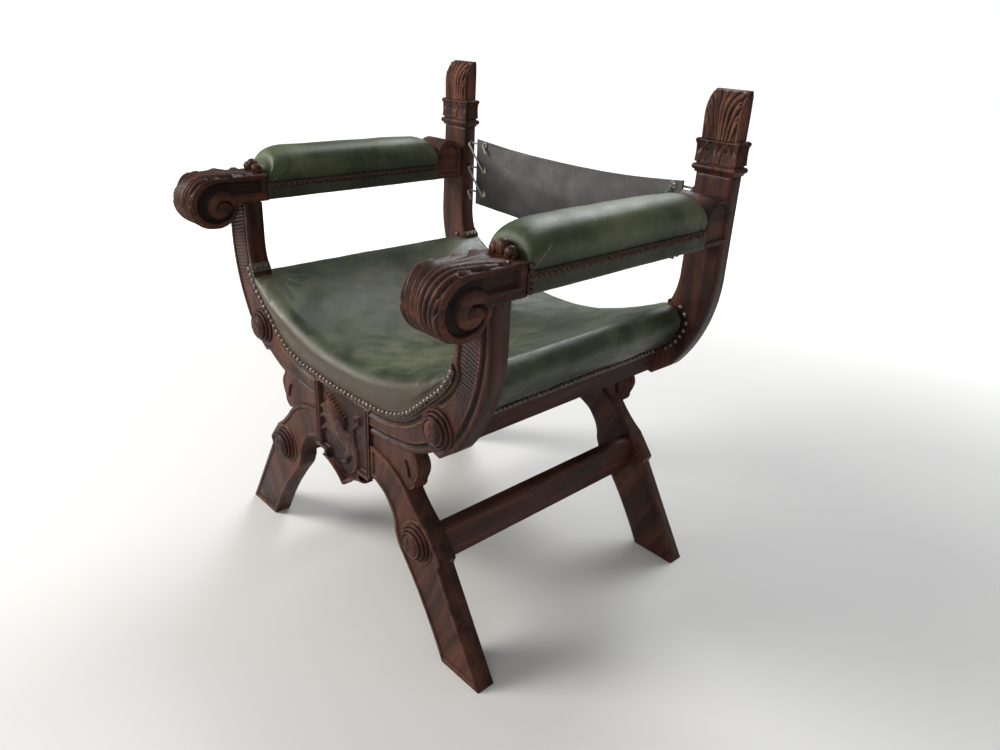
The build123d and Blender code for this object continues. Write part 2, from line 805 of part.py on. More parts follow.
def post_cap():
    bead_low = post_top + cap_base
    bead_high = bead_low + cap_bead
    neck_top = bead_high + cap_neck
    base = post_layer(post_top, bead_low, cap_base / 2)
    bead = chamfer(post_layer(bead_low, bead_high, cap_bead_proud).edges(), length=cap_bead / 3)
    neck = post_layer(bead_high, neck_top, cap_base / 2)
    drum = post_layer(neck_top, drum_top, drum_proud)
    foot = neck_top + (drum_top - neck_top - niche_height) / 2
    front_y, rear_y = frame_pitch + post_taper - drum_proud, rear_face + drum_proud
    for side in (-1, 1):
        arch_face = niche(upright_mid + side * (half_width - inner_x) / 4, foot)
        drum = drum - plate(arch_face, front_y - 1, front_y + niche_sink)
        drum = drum - plate(arch_face, rear_y - niche_sink, rear_y + 1)
    side_face = niche((front_y + rear_y) / 2, foot)
    drum = drum - slab(side_face, half_width + drum_proud - niche_sink, half_width + drum_proud + 1)
    drum = drum - slab(side_face, inner_x - drum_proud - 1, inner_x - drum_proud + niche_sink)
    rim = post_layer(drum_top, cap_top, cap_bead_proud)
    return base + bead + neck + drum + rim


def post_finial():
    profile = closed(
        Polyline(
            (finial_front, finial_shoulder),
            (finial_front, cap_top),
            (finial_back, cap_top),
            (finial_back, finial_top),
            (finial_back - finial_point, finial_top),
        ),
        ThreePointArc(
            (finial_back - finial_point, finial_top),
            ((finial_front + finial_back) / 2 - finial_point, (finial_shoulder + finial_top) / 2 + finial_point),
            (finial_front, finial_shoulder),
        ),
    )
    half, cut = finial_half, finial_corner
    front = polygon(
        (-half, cap_top),
        (half, cap_top),
        (half, finial_top - cut),
        (half - cut, finial_top),
        (cut - half, finial_top),
        (-half, finial_top - cut),
    )
    leaf = plate(Pos(upright_mid, 0) * front, finial_front - 1, finial_back + 1)
    return slab(profile, inner_x, half_width) & leaf


# ---- back sling, eyelets, staples and lacing ----
def sling_curve(shift):
    end = sling_y - sling_thick / 2 + shift
    return ThreePointArc((-sling_half, end), (0, end + sling_sag), (sling_half, end))


def eyelet_plane(z):
    # on the middle of the sling, facing out of its back
    radius = (sling_half**2 + sling_sag**2) / (2 * sling_sag)
    depth = sqrt(radius**2 - eyelet_x**2)
    y = sling_y + sling_sag - radius + depth
    return Plane(origin=(eyelet_x, y, z), z_dir=(eyelet_x, depth, 0))


def build_sling():
    near, far = sling_curve(0), sling_curve(sling_thick)
    plan = closed(near, Line(near @ 1, far @ 1), far, Line(far @ 0, near @ 0))
    low, high = sling_low - sling_dip, sling_high
    wall = extrude(Pos(0, 0, low) * plan, amount=high - low, dir=(0, 0, 1))
    half = sling_half + 1
    top = ThreePointArc((-half, sling_high), (0, sling_high - sling_dip), (half, sling_high))
    bottom = ThreePointArc((-half, sling_low), (0, sling_low - sling_dip), (half, sling_low))
    front = closed(top, Line(top @ 1, bottom @ 1), bottom, Line(bottom @ 0, top @ 0))
    sling = wall & plate(front, frame_pitch, rear_face + sling_sag)
    bore = Cylinder(eyelet_bore + eyelet_wall + eyelet_fit, sling_thick * 3)
    holes = [eyelet_plane(z) * bore for z in eyelet_heights]
    keep("back_sling", sling - holes - [mirrored(hole) for hole in holes])

    inside = sling_thick / 2 + eyelet_fit
    ring = Cylinder(eyelet_bore + eyelet_wall, 2 * (inside + eyelet_flange))
    for side in (-1, 1):
        ring = ring + Pos(0, 0, side * (inside + eyelet_flange / 2)) * Cylinder(eyelet_rim, eyelet_flange)
    ring = ring - Cylinder(eyelet_bore, sling_thick * 3)
    rings = [eyelet_plane(z) * ring for z in eyelet_heights]
    keep("sling_eyelets", Compound(children=rings + [mirrored(ring) for ring in rings]))
    staples = [staple(z) for z in eyelet_heights]
    keep("sling_staples", Compound(children=staples + [mirrored(wire) for wire in staples]))
    keep_pair("lacing", lacing())


def staple(z):
    bend_x = inner_x - staple_reach + staple_half
    root = inner_x + staple_root
    path = Curve() + [
        Line((root, sling_y, z + staple_half), (bend_x, sling_y, z + staple_half)),
        ThreePointArc(
            (bend_x, sling_y, z + staple_half),
            (bend_x - staple_half, sling_y, z),
            (bend_x, sling_y, z - staple_half),
        ),
        Line((bend_x, sling_y, z - staple_half), (root, sling_y, z - staple_half)),
    ]
    start = Plane(origin=(root, sling_y, z + staple_half), z_dir=(-1, 0, 0))
    return sweep(start * Circle(staple_wire), path=path)


def lacing():
    # one lace, drawn tight: through an eyelet to the back, out through the staple beside it,
    # and down to the next eyelet
    eye = eyelet_plane(0)
    lean = (sling_thick / 2 + eyelet_flange) * eye.z_dir.X
    eye_x = eyelet_x + eyelet_bore - lace_radius - fit_gap - lean
    loop_x = inner_x - staple_reach + staple_wire + lace_radius + fit_gap
    front, back = eye.origin.Y - lace_stand, eye.origin.Y + lace_stand
    top, bottom = eyelet_heights[-1], eyelet_heights[0]
    points = [(eye_x - lace_tail[0], front, top - lace_tail[1])]
    for z in reversed(eyelet_heights):
        points += [(eye_x, front, z), (eye_x, back, z)]
        points += [(loop_x, sling_y + lace_stand, z), (loop_x, sling_y - lace_stand, z)]
    points.append((loop_x - lace_tail[0], sling_y - lace_stand, bottom - lace_tail[1]))
    path = FilletPolyline(*points, radius=lace_bend)
    start = Plane(origin=path @ 0, z_dir=path % 0)
    lace = sweep(start * Circle(lace_radius), path=path)
    print("lace", round(path.length, 1), "mm long, bends", lace_bend, "volume", round(lace.volume, 1),
          "against", round(pi * lace_radius**2 * path.length, 1))
    return lace


def ground_and_centre():
    # the origin goes under the middle of the bounding box of everything
    boxes = [shape.bounding_box() for shape in pieces.values()]
    front = min(box.min.Y for box in boxes)
    rear = max(box.max.Y for box in boxes)
    return -(front + rear) / 2


if __name__ == "__main__":
    os.makedirs("parts", exist_ok=True)
    build_frames()
    build_cartouche()
    for name, centre in (("upper_roundel", upper_roundel), ("lower_roundel", lower_roundel)):
        keep_pair(name, roundel(centre))
    build_rails()
    build_seat()
    build_seat_nails()
    build_arms()
    keep_pair("post_cap", post_cap())
    keep_pair("post_finial", post_finial())
    build_sling()
    shift = ground_and_centre()
    print("moved along y by", round(shift, 3))
    for name, shape in pieces.items():
        export_step(Pos(0, shift, 0) * shape, f"parts/{name}.step")
        print(name, round(shape.volume / 1000, 1), len(shape.solids()))
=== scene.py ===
import bmesh
import bpy
import numpy as np
from math import atan2, cos, pi, radians, sin
from mathutils import Matrix, Vector


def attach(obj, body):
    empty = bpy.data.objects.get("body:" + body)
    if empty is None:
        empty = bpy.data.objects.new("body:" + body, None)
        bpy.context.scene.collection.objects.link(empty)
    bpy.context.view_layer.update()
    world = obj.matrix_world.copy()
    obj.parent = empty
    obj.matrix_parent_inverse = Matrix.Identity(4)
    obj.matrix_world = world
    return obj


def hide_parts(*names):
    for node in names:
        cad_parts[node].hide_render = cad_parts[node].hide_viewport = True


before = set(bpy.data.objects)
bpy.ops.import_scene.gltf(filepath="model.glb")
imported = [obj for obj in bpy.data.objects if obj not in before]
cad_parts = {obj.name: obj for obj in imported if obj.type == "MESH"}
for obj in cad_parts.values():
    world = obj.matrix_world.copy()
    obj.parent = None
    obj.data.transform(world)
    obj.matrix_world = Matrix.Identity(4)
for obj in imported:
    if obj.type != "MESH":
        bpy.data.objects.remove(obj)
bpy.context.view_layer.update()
print("frame loaded")

# Pieces are laid out in millimetres with y = 0 on the front face of the front frame
# and z = 0 on the floor, as the CAD source does, and come into the frame through place().
chair = {
    "yShift": 225.075, "frontThick": 33.0, "rearFrame": 505.0, "rearFace": 537.0, "armRail": 641.0, "postTop": 746.0,
    "upperRosette": (258.0, 422.0), "lowerRosette": (205.5, 196.0),
}
sides = (("right", 1), ("left", -1))
farAway = 1e9


def place(points):
    return (np.asarray(points, dtype=float).reshape(-1, 3) - (0, chair["yShift"], 0)) / 1000


# paths in the x-z plane
def arcThrough(a, m, b, step=2.0):
    (ax, ay), (mx, my), (bx, by) = a, m, b
    aa, mm, bb = ax**2 + ay**2, mx**2 + my**2, bx**2 + by**2
    d = 2 * (ax * (my - by) + mx * (by - ay) + bx * (ay - my))
    ux = (aa * (my - by) + mm * (by - ay) + bb * (ay - my)) / d
    uy = (aa * (bx - mx) + mm * (ax - bx) + bb * (mx - ax)) / d
    radius = np.hypot(ax - ux, ay - uy)
    first, middle, last = (atan2(y - uy, x - ux) for x, y in (a, m, b))
    sweep, part = (last - first) % (2 * pi), (middle - first) % (2 * pi)
    if part > sweep:
        sweep -= 2 * pi
    turn = first + sweep * np.linspace(0, 1, max(3, int(abs(sweep) * radius / step) + 1))
    return np.column_stack([ux + radius * np.cos(turn), uy + radius * np.sin(turn)])


def run(*parts):
    # two points make a line and three an arc, one after another
    path = np.vstack([arcThrough(*part) if len(part) == 3 else np.array(part, dtype=float) for part in parts])
    return path[np.r_[True, np.hypot(*np.diff(path, axis=0).T) > 1e-6]]


def alongOf(path):
    # the way along the path to each of its points
    return np.r_[0, np.cumsum(np.linalg.norm(np.diff(path, axis=0), axis=1))]


def resample(path, count):
    path = np.asarray(path, dtype=float)
    along = alongOf(path)
    at = np.linspace(0, along[-1], count)
    return np.column_stack([np.interp(at, along, column) for column in path.T])


def normals2d(path):
    # to the left of the way along the path
    t = np.gradient(path, axis=0)
    t /= np.maximum(np.hypot(t[:, 0], t[:, 1]), 1e-9)[:, None]
    return np.column_stack([-t[:, 1], t[:, 0]])


def bothSides(half):
    # a half that starts on the middle line, with its mirror image before it
    return np.vstack([(half * (-1, 1))[:0:-1], half])


def towards(loop, middle, share):
    # rows of points from each point of a loop to its own middle
    return loop[:, None, :] + (middle - loop)[:, None, :] * share[None, :, None]


# profiles that the carved faces are put together from
def unit(value):
    return np.clip(value, 0, 1)


def bell(value, centre, width):
    return np.exp(-(((value - centre) / width) ** 2))


def ledge(value, at, soft):
    return 1 / (1 + np.exp(-(value - at) / soft))


def stepTo(value, edge, soft):
    # 1 well above the edge, 0 well below
    t = unit((value - edge) / soft + 0.5)
    return t**2 * (3 - 2 * t)


def fallBack(fromEdge, radius):
    # how far a rounded edge lies behind the face at a distance from the edge
    inside = radius - np.minimum(fromEdge, radius)
    return radius - np.sqrt(np.maximum(0, radius**2 - inside**2))


def waves(x, y, seed, count, longest, shortest):
    # a soft uneven surface from a fixed set of plane waves
    dice = np.random.default_rng(seed)
    total = np.zeros(np.broadcast(x, y).shape)
    for _ in range(count):
        length = dice.uniform(shortest, longest)
        turn, phase = dice.uniform(0, 2 * pi, 2)
        weight = (length / longest) ** 0.9
        total = total + weight * np.sin((x * cos(turn) + y * sin(turn)) * 2 * pi / length + phase)
    return total / count**0.5


def cubicThrough(points):
    # natural cubic through the points, given back as a function of x
    x, z = np.array(points, dtype=float).T
    n = len(x)
    h = np.diff(x)
    m = np.eye(n)
    right = np.zeros(n)
    for i in range(1, n - 1):
        m[i, i - 1 : i + 2] = h[i - 1], 2 * (h[i - 1] + h[i]), h[i]
        right[i] = 6 * ((z[i + 1] - z[i]) / h[i] - (z[i] - z[i - 1]) / h[i - 1])
    second = np.linalg.solve(m, right)

    def value(at):
        at = np.asarray(at, dtype=float)
        i = np.clip(np.searchsorted(x, at) - 1, 0, n - 2)
        a, b = (x[i + 1] - at) / h[i], (at - x[i]) / h[i]
        bend = ((a**3 - a) * second[i] + (b**3 - b) * second[i + 1]) * h[i] ** 2 / 6
        return a * z[i] + b * z[i + 1] + bend

    return value


def nearestOf(x, z, spots):
    # how far each place lies from the nearest of the spots
    gap = np.full(np.shape(x), farAway)
    for spotX, spotZ in spots:
        gap = np.minimum(gap, np.hypot(x - spotX, z - spotZ))
    return gap


def outlineDistance(points, outline):
    # how far each place lies from a closed outline
    best = np.full(points.shape[:-1], farAway)
    for a, b in zip(outline, np.roll(outline, -1, axis=0)):
        along = b - a
        square = along.dot(along)
        if square < 1e-12:
            continue
        t = unit((points - a) @ along / square)
        gap = points - a - t[..., None] * along
        best = np.minimum(best, (gap**2).sum(axis=-1))
    return np.sqrt(best)


# meshes
def gridOf(x, y, z):
    # numbers, rows and columns of x, y and z become a grid of points
    return np.stack(np.broadcast_arrays(x, y, z), axis=-1).astype(float)


def gridFaces(rows, cols, wrapRow=False, wrapCol=False, start=0):
    r = np.arange(rows if wrapRow else rows - 1)
    c = np.arange(cols if wrapCol else cols - 1)
    i, j = np.meshgrid(r, c, indexing="ij")
    i2, j2 = (i + 1) % rows, (j + 1) % cols
    quads = np.stack([i * cols + j, i2 * cols + j, i2 * cols + j2, i * cols + j2], axis=-1)
    return (quads.reshape(-1, 4) + start).tolist()


def endFaces(rows, cols):
    # the first and the last row of a grid, each as one face
    return list(range(cols)), [(rows - 1) * cols + c for c in range(cols)]


def shifted(faces, start):
    return [[v + start for v in f] for f in faces]


def flipped(faces, really=True):
    return [f[::-1] for f in faces] if really else faces


def onSide(points, side):
    # as they are on the right, mirrored on the left
    return np.asarray(points, dtype=float).reshape(-1, 3) * (side, 1, 1)


class Patches:
    # grids that are put together into one mesh
    def __init__(self):
        self.points, self.faces, self.count = [], [], 0

    def add(self, grid, flip=False, faces=None, **wraps):
        made = gridFaces(*grid.shape[:2], start=self.count, **wraps) if faces is None else shifted(faces, self.count)
        self.faces += flipped(made, flip)
        self.points.append(grid.reshape(-1, 3))
        self.count += len(self.points[-1])

    def all(self):
        return np.vstack(self.points)


def addObject(name, data):
    obj = bpy.data.objects.new(name, data)
    bpy.context.scene.collection.objects.link(obj)
    return obj


def makeMesh(name, points, faces, finish, marks=None, merge=0.0, fill=False):
    # marks are values per point for the finish, merge joins points closer than that many millimetres
    mesh = bpy.data.meshes.new(name)
    mesh.from_pydata(place(points).tolist(), [], faces)
    for key, values in (marks or {}).items():
        layer = mesh.attributes.new(key, "FLOAT", "POINT")
        layer.data.foreach_set("value", np.asarray(values, dtype=np.float32).ravel())
    mesh.validate()
    mesh.update()
    obj = addObject(name, mesh)
    if merge:
        tool = bmesh.new()
        tool.from_mesh(mesh)
        bmesh.ops.remove_doubles(tool, verts=tool.verts, dist=merge / 1000)
        bmesh.ops.dissolve_degenerate(tool, edges=tool.edges, dist=1e-6)
        if fill:
            bmesh.ops.holes_fill(tool, edges=[e for e in tool.edges if len(e.link_faces) == 1], sides=0)
        bmesh.ops.recalc_face_normals(tool, faces=tool.faces)
        tool.to_mesh(mesh)
        tool.free()
    mesh.polygons.foreach_set("use_smooth", [True] * len(mesh.polygons))
    mesh.materials.append(finish)
    return obj


def wallOf(obj, thick, offset=-1.0):
    wall = obj.modifiers.new("wall", "SOLIDIFY")
    wall.thickness = thick / 1000
    wall.offset = offset


def carry(obj, slotName, *nodes):
    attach(obj, "root")
    if nodes:
        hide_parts(*nodes)


def makePair(name, node, grid, faces, finish, marks=None, merge=0.01):
    # a piece of oak on the right and its mirror image on the left, for the CAD nodes of the two sides
    for label, s in sides:
        obj = makeMesh(name + label.title(), onSide(grid, s), faces, finishes[finish], marks, merge)
        carry(obj, "dark_oak", node + label)


# finishes
class NodeKit:
    # short ways to add the nodes that the trees share
    def __init__(self, tree):
        self.nodes, self.links = tree.nodes, tree.links

    def add(self, kind, inputs=None, **settings):
        # the inputs by name or number are sockets to link, numbers or colours
        node = self.nodes.new(kind)
        for key, value in settings.items():
            setattr(node, key, value)
        self.feed(node, inputs or {})
        return node

    def feed(self, node, inputs):
        for key, value in inputs.items():
            socket = node.inputs[key]
            if isinstance(value, bpy.types.NodeSocket):
                self.links.new(value, socket)
            else:
                socket.default_value = (*value, 1) if socket.type == "RGBA" else value

    def coords(self, output="Object"):
        return self.add("ShaderNodeTexCoord").outputs[output]

    def attribute(self, name):
        return self.add("ShaderNodeAttribute", attribute_name=name).outputs["Fac"]

    def noise(self, vector, scale, detail=4.0, rough=0.55, distort=0.0):
        settings = {"Vector": vector, "Scale": scale, "Detail": detail, "Roughness": rough, "Distortion": distort}
        return self.add("ShaderNodeTexNoise", settings).outputs["Fac"]

    def ramp(self, value, stops):
        node = self.add("ShaderNodeValToRGB", {"Fac": value})
        band = node.color_ramp
        while len(band.elements) < len(stops):
            band.elements.new(0.5)
        for element, (at, colour) in zip(band.elements, stops):
            element.position = at
            element.color = (*colour, 1)
        return node.outputs["Color"]

    def spread(self, value, low, high, outLow=0.0, outHigh=1.0):
        settings = {"Value": value, "From Min": low, "From Max": high, "To Min": outLow, "To Max": outHigh}
        return self.add("ShaderNodeMapRange", settings, interpolation_type="SMOOTHSTEP").outputs["Result"]

    def blend(self, factor, a, b):
        return self.add("ShaderNodeMix", {"Factor": factor, "A": a, "B": b}, data_type="RGBA").outputs["Result"]

    def math(self, operation, a, b):
        return self.add("ShaderNodeMath", {0: a, 1: b}, operation=operation).outputs[0]

    def times(self, a, b):
        return self.math("MULTIPLY", a, b)

    def plus(self, a, b):
        return self.math("ADD", a, b)

    def softNormal(self, radius, samples):
        return self.add("ShaderNodeBevel", {"Radius": radius}, samples=samples).outputs["Normal"]

    def bump(self, shader, height, distance, strength=1.0, **more):
        made = self.add("ShaderNodeBump", {"Distance": distance, "Strength": strength, "Height": height, **more})
        self.feed(shader, {"Normal": made.outputs["Normal"]})


def newFinish(name, rough=0.5, specular=0.5):
    finish = bpy.data.materials.new(name)
    finish.use_nodes = True
    kit = NodeKit(finish.node_tree)
    shader = kit.nodes["Principled BSDF"]
    kit.feed(shader, {"Roughness": rough, "Specular IOR Level": specular})
    return finish, kit, shader


oakLook = {
    "deep": (0.0075, 0.0042, 0.0034), "dark": (0.026, 0.0108, 0.0075), "mid": (0.064, 0.0222, 0.0138),
    "light": (0.118, 0.0430, 0.0245), "worn": (0.270, 0.1150, 0.0480),
    # scale, detail, roughness and distortion of each noise
    "broad": (38, 5, 0.62, 0.5), "pores": (620, 3, 0.6), "cloud": (9, 3, 0.6), "patches": (26, 4, 0.65),
    "stretch": (1.0, 1.0, 0.07), "edgeRadius": 0.0030, "softRadius": 0.0006,
    "poreShade": 0.55, "edgeWear": 0.62, "crestWear": 0.42, "cutShade": 0.9, "rough": (0.36, 0.56),
    "bumpDepth": 0.00035, "bumpStrength": 0.8,
}


def oakFinish(name, turn=(0.0, 0.0, 0.0), carved=False, wear=1.0, tone=(1.0, 1.0, 1.0), gloss=0.17):
    # the grain runs along local Z before it is turned
    look = oakLook
    shades = {key: tuple(v * k for v, k in zip(look[key], tone)) for key in ("deep", "dark", "mid", "light", "worn")}
    finish, kit, shader = newFinish(name, specular=gloss)
    coords = kit.coords()
    turned = kit.add("ShaderNodeMapping", {"Vector": coords, "Rotation": turn}).outputs["Vector"]
    along = kit.add("ShaderNodeMapping", {"Vector": turned, "Scale": look["stretch"]}).outputs["Vector"]
    broad, pores = kit.noise(along, *look["broad"]), kit.noise(along, *look["pores"])
    cloud = kit.noise(coords, *look["cloud"])
    mixed = kit.plus(kit.times(broad, 0.75), kit.times(cloud, 0.35))
    colour = kit.ramp(mixed, list(zip((0.30, 0.47, 0.60, 0.78), (shades[k] for k in ("deep", "dark", "mid", "light")))))
    poreMask = kit.spread(pores, 0.56, 0.66)
    colour = kit.blend(kit.times(poreMask, look["poreShade"]), colour, shades["deep"])
    # edges and crests are worn in patches
    facing = kit.add("ShaderNodeVectorMath", operation="DOT_PRODUCT", inputs={
        0: kit.softNormal(look["edgeRadius"], 6), 1: kit.add("ShaderNodeNewGeometry").outputs["Normal"]})
    edge = kit.spread(facing.outputs["Value"], 0.985, 0.80)
    patchy = kit.spread(kit.noise(coords, *look["patches"]), 0.38, 0.62)
    wornMask = kit.times(kit.times(edge, patchy), look["edgeWear"] * wear)
    if carved:
        relief = kit.attribute("relief")
        low, high = kit.spread(relief, 0.42, 0.08), kit.spread(relief, 0.62, 1.0)
        wornMask = kit.math("MAXIMUM", wornMask, kit.times(kit.times(high, look["crestWear"]), patchy))
    colour = kit.blend(wornMask, colour, shades["worn"])
    if carved:
        # painted shade: the cuts are darkened to the deep colour, standing for the shade in them as well as old polish
        # and dust
        colour = kit.blend(kit.times(low, look["cutShade"]), colour, shades["deep"])
    kit.feed(shader, {"Base Color": colour, "Roughness": kit.spread(cloud, 0.3, 0.7, *look["rough"])})
    height = kit.math("SUBTRACT", kit.times(broad, 0.5), poreMask)
    kit.bump(shader, height, look["bumpDepth"], look["bumpStrength"], Normal=kit.softNormal(look["softRadius"], 4))
    return finish


leatherTones = {
    "seat": [(0.0, (0.020, 0.026, 0.013)), (0.40, (0.038, 0.048, 0.024)), (0.66, (0.060, 0.070, 0.037)),
             (1.0, (0.104, 0.098, 0.056))],
    # the pad tones are lighter than the seat's: painted light, standing for the light that falls on the pad tops
    "pad": [(0.0, (0.031, 0.042, 0.018)), (0.42, (0.054, 0.069, 0.031)), (0.70, (0.078, 0.092, 0.044)),
            (1.0, (0.108, 0.115, 0.062))],
    "sling": [(0.0, (0.046, 0.043, 0.047)), (0.42, (0.068, 0.063, 0.066)), (0.65, (0.083, 0.077, 0.080)),
              (1.0, (0.118, 0.107, 0.104))],
    # what each mark on the mesh turns the leather to, and how fully
    # the dark mark is real dirt in some places and painted shade in others: the low seat sides and corners, the lower
    # pad sides, the rail under the pads and the lower sling
    "marks": {"worn": ((0.050, 0.032, 0.015), 0.8), "dirt": ((0.012, 0.011, 0.009), 0.85),
              # the pale mark is partly worn creases and partly a painted highlight on their crests
              "crease": ((0.36, 0.34, 0.30), 0.85)},
}


def leatherFinish(name, tones, rough=(0.30, 0.50), specular=0.34):
    finish, kit, shader = newFinish(name, specular=specular)
    coords = kit.coords()
    cloud = kit.noise(coords, 7.5, 5, 0.62, 0.6)
    stain = kit.noise(coords, 31, 5, 0.7)
    mixed = kit.plus(kit.times(cloud, 0.72), kit.times(stain, 0.28))
    colour = kit.ramp(kit.spread(mixed, 0.34, 0.66), tones)
    broken = kit.spread(stain, 0.30, 0.62, 0.55, 1.0)
    for mark, (shade, share) in leatherTones["marks"].items():
        colour = kit.blend(kit.times(kit.times(kit.attribute(mark), broken), share), colour, shade)
    kit.feed(shader, {"Base Color": colour, "Roughness": kit.spread(stain, 0.3, 0.7, *rough)})
    cells = kit.add("ShaderNodeTexVoronoi", {"Vector": coords, "Scale": 900.0}, feature="DISTANCE_TO_EDGE")
    pebble = kit.spread(cells.outputs["Distance"], 0.0, 0.22)
    kit.bump(shader, kit.plus(kit.times(pebble, 0.18), kit.noise(coords, 120, 4, 0.6)), 0.0006, 0.55)
    return finish


def metalFinish(name, low, high, rough, metallic=0.9):
    finish, kit, shader = newFinish(name)
    tarnish = kit.noise(kit.coords(), 240.0, 3, 0.6)
    kit.feed(shader, {"Metallic": metallic, "Base Color": kit.ramp(tarnish, [(0.36, low), (0.66, high)]),
                      "Roughness": kit.spread(tarnish, 0.3, 0.7, *rough)})
    kit.bump(shader, tarnish, 0.0002, 0.5)
    return finish


def wovenFinish(name, thin, thick, scale):
    finish, kit, shader = newFinish(name, 0.9, 0.2)
    coords = kit.coords()
    threads = [kit.add("ShaderNodeTexWave", {"Vector": coords, "Scale": scale, "Distortion": 0.6},
                       bands_direction=axis).outputs["Fac"] for axis in ("X", "Y")]
    weave = kit.times(*threads)
    tint = kit.plus(kit.times(weave, 0.6), kit.times(kit.noise(coords, 25, 4), 0.5))
    kit.feed(shader, {"Base Color": kit.ramp(tint, [(0.2, thin), (0.8, thick)])})
    kit.bump(shader, weave, 0.0005, 0.7)
    return finish


turns = {"leg": (0.0, radians(-26), 0.0), "legLeft": (0.0, radians(26), 0.0), "deep": (radians(90), 0.0, 0.0)}
finishes = {
    "oakUp": oakFinish("darkOakUpright"),
    "oakCarvedUp": oakFinish("darkOakCarved", carved=True),
    "oakLeg": oakFinish("darkOakLeg", turn=turns["leg"], carved=True),
    "oakLegLeft": oakFinish("darkOakLegLeft", turn=turns["legLeft"], carved=True),
    "oakDeep": oakFinish("darkOakRail", turn=turns["deep"], wear=0.7),
    # the scroll's lighter, greyer tone is a painted sheen; the brackets share this finish
    "oakDeepCarved": oakFinish("darkOakScroll", turn=turns["deep"], carved=True, tone=(1.25, 1.33, 1.38)),
    # the finial's much lighter, greyer tone with almost no gloss is a painted sheen, together with dust
    "oakTip": oakFinish("darkOakFinial", carved=True, wear=1.1, tone=(2.2, 2.75, 3.2), gloss=0.02),
    "oakGloss": oakFinish("darkOakBud", carved=True, wear=0.6, tone=(0.8, 0.8, 0.8)),
    "seat": leatherFinish("greenSeatLeather", leatherTones["seat"]),
    "pad": leatherFinish("greenPadLeather", leatherTones["pad"], (0.36, 0.52), 0.28),
    "sling": leatherFinish("greySlingLeather", leatherTones["sling"], (0.42, 0.6)),
    "brass": metalFinish("agedBrass", (0.060, 0.045, 0.040), (0.210, 0.158, 0.138), (0.32, 0.50)),
    "rusted": metalFinish("rustedNails", (0.030, 0.015, 0.009), (0.105, 0.056, 0.036), (0.42, 0.60), 0.75),
    "eyelet": metalFinish("eyeletBrass", (0.16, 0.13, 0.09), (0.42, 0.36, 0.27), (0.3, 0.5)),
    "iron": metalFinish("blackenedIron", (0.02, 0.02, 0.02), (0.09, 0.085, 0.08), (0.4, 0.6)),
    "cord": wovenFinish("laceCord", (0.28, 0.27, 0.25), (0.62, 0.60, 0.56), 2600),
    "cordDark": wovenFinish("laceCordDark", (0.13, 0.135, 0.12), (0.34, 0.35, 0.31), 2600),
    "web": wovenFinish("juteWebbing", (0.16, 0.12, 0.07), (0.42, 0.34, 0.22), 900),
    "hessian": wovenFinish("hessian", (0.14, 0.10, 0.06), (0.34, 0.26, 0.16), 1500),
}
print("finishes made")

# timbers of the two frames
elbow = {"centre": (78.0, 578.0), "radius": 280.0}


def onElbow(angle):
    (cx, cz), r = elbow["centre"], elbow["radius"]
    return (cx + r * cos(radians(angle)), cz - r * sin(radians(angle)))


# outer run and inner run of each stretch of a member, from the top down
upperPairs = [
    ([[(358, 641), (358, 578)]], [[(290, 641), (290, 572)]]),
    ([[(358, 578), onElbow(15), onElbow(30)]], [[(290, 572), (281, 528), (256, 490)]]),
    ([[onElbow(30), onElbow(35), onElbow(40)], [onElbow(40), (258, 373)]], [[(256, 490), (203, 443)]]),
    ([[(258, 373), (243, 377)], [(243, 377), (232, 370.2), (221, 364.4)]], [[(203, 443), (191, 433), (178, 424)]]),
    ([[(221, 364.4), (193, 353.2), (165, 348)]], [[(178, 424), (163.5, 416.5), (148, 411)]]),
    ([[(165, 348), (123, 341.4), (82, 340)]], [[(148, 411), (115, 404), (82, 402)]]),
]
postPair = ([[(358, chair["postTop"]), (358, chair["armRail"])]], [[(290, chair["postTop"]), (290, chair["armRail"])]])
legPairs = [
    ([[(82, 318), (108, 315), (135, 308)]], [[(82, 260), (95, 257.6), (107, 252)]]),
    ([[(135, 308), (158, 296), (178, 280)]], [[(107, 252), (121, 244), (131, 233)]]),
    ([[(178, 280), (203, 252), (232, 229)]], [[(131, 233), (142, 217), (147, 200)]]),
    ([[(232, 229), (265, 187)]], [[(147, 200), (148, 188)], [(148, 188), (155, 171)]]),
    ([[(265, 187), (260, 174)]], [[(155, 171), (160, 163)]]),
    ([[(260, 174), (364, 0)]], [[(160, 163), (222, 85), (273, 0)]]),
]


def pairedRuns(stretches, steps):
    # the two outlines with the same number of points, at most a step apart
    outer, inner = [], []
    for number, (outerParts, innerParts) in enumerate(stretches):
        pair = run(*outerParts), run(*innerParts)
        step = steps[min(number, len(steps) - 1)]
        count = max(2, int(max(alongOf(path)[-1] for path in pair) / step) + 1)
        outer.append(resample(pair[0], count)[:-1])
        inner.append(resample(pair[1], count)[:-1])
    return np.vstack(outer + [pair[0][-1:]]), np.vstack(inner + [pair[1][-1:]])


timber = {
    "edgeRadius": 1.6, "wallDepths": (0.35, 1.0), "plainMark": 0.5,
    # the rear posts grow thinner from this height up
    "taper": 5.0, "taperFrom": 540.0, "taperLong": 206.0,
}


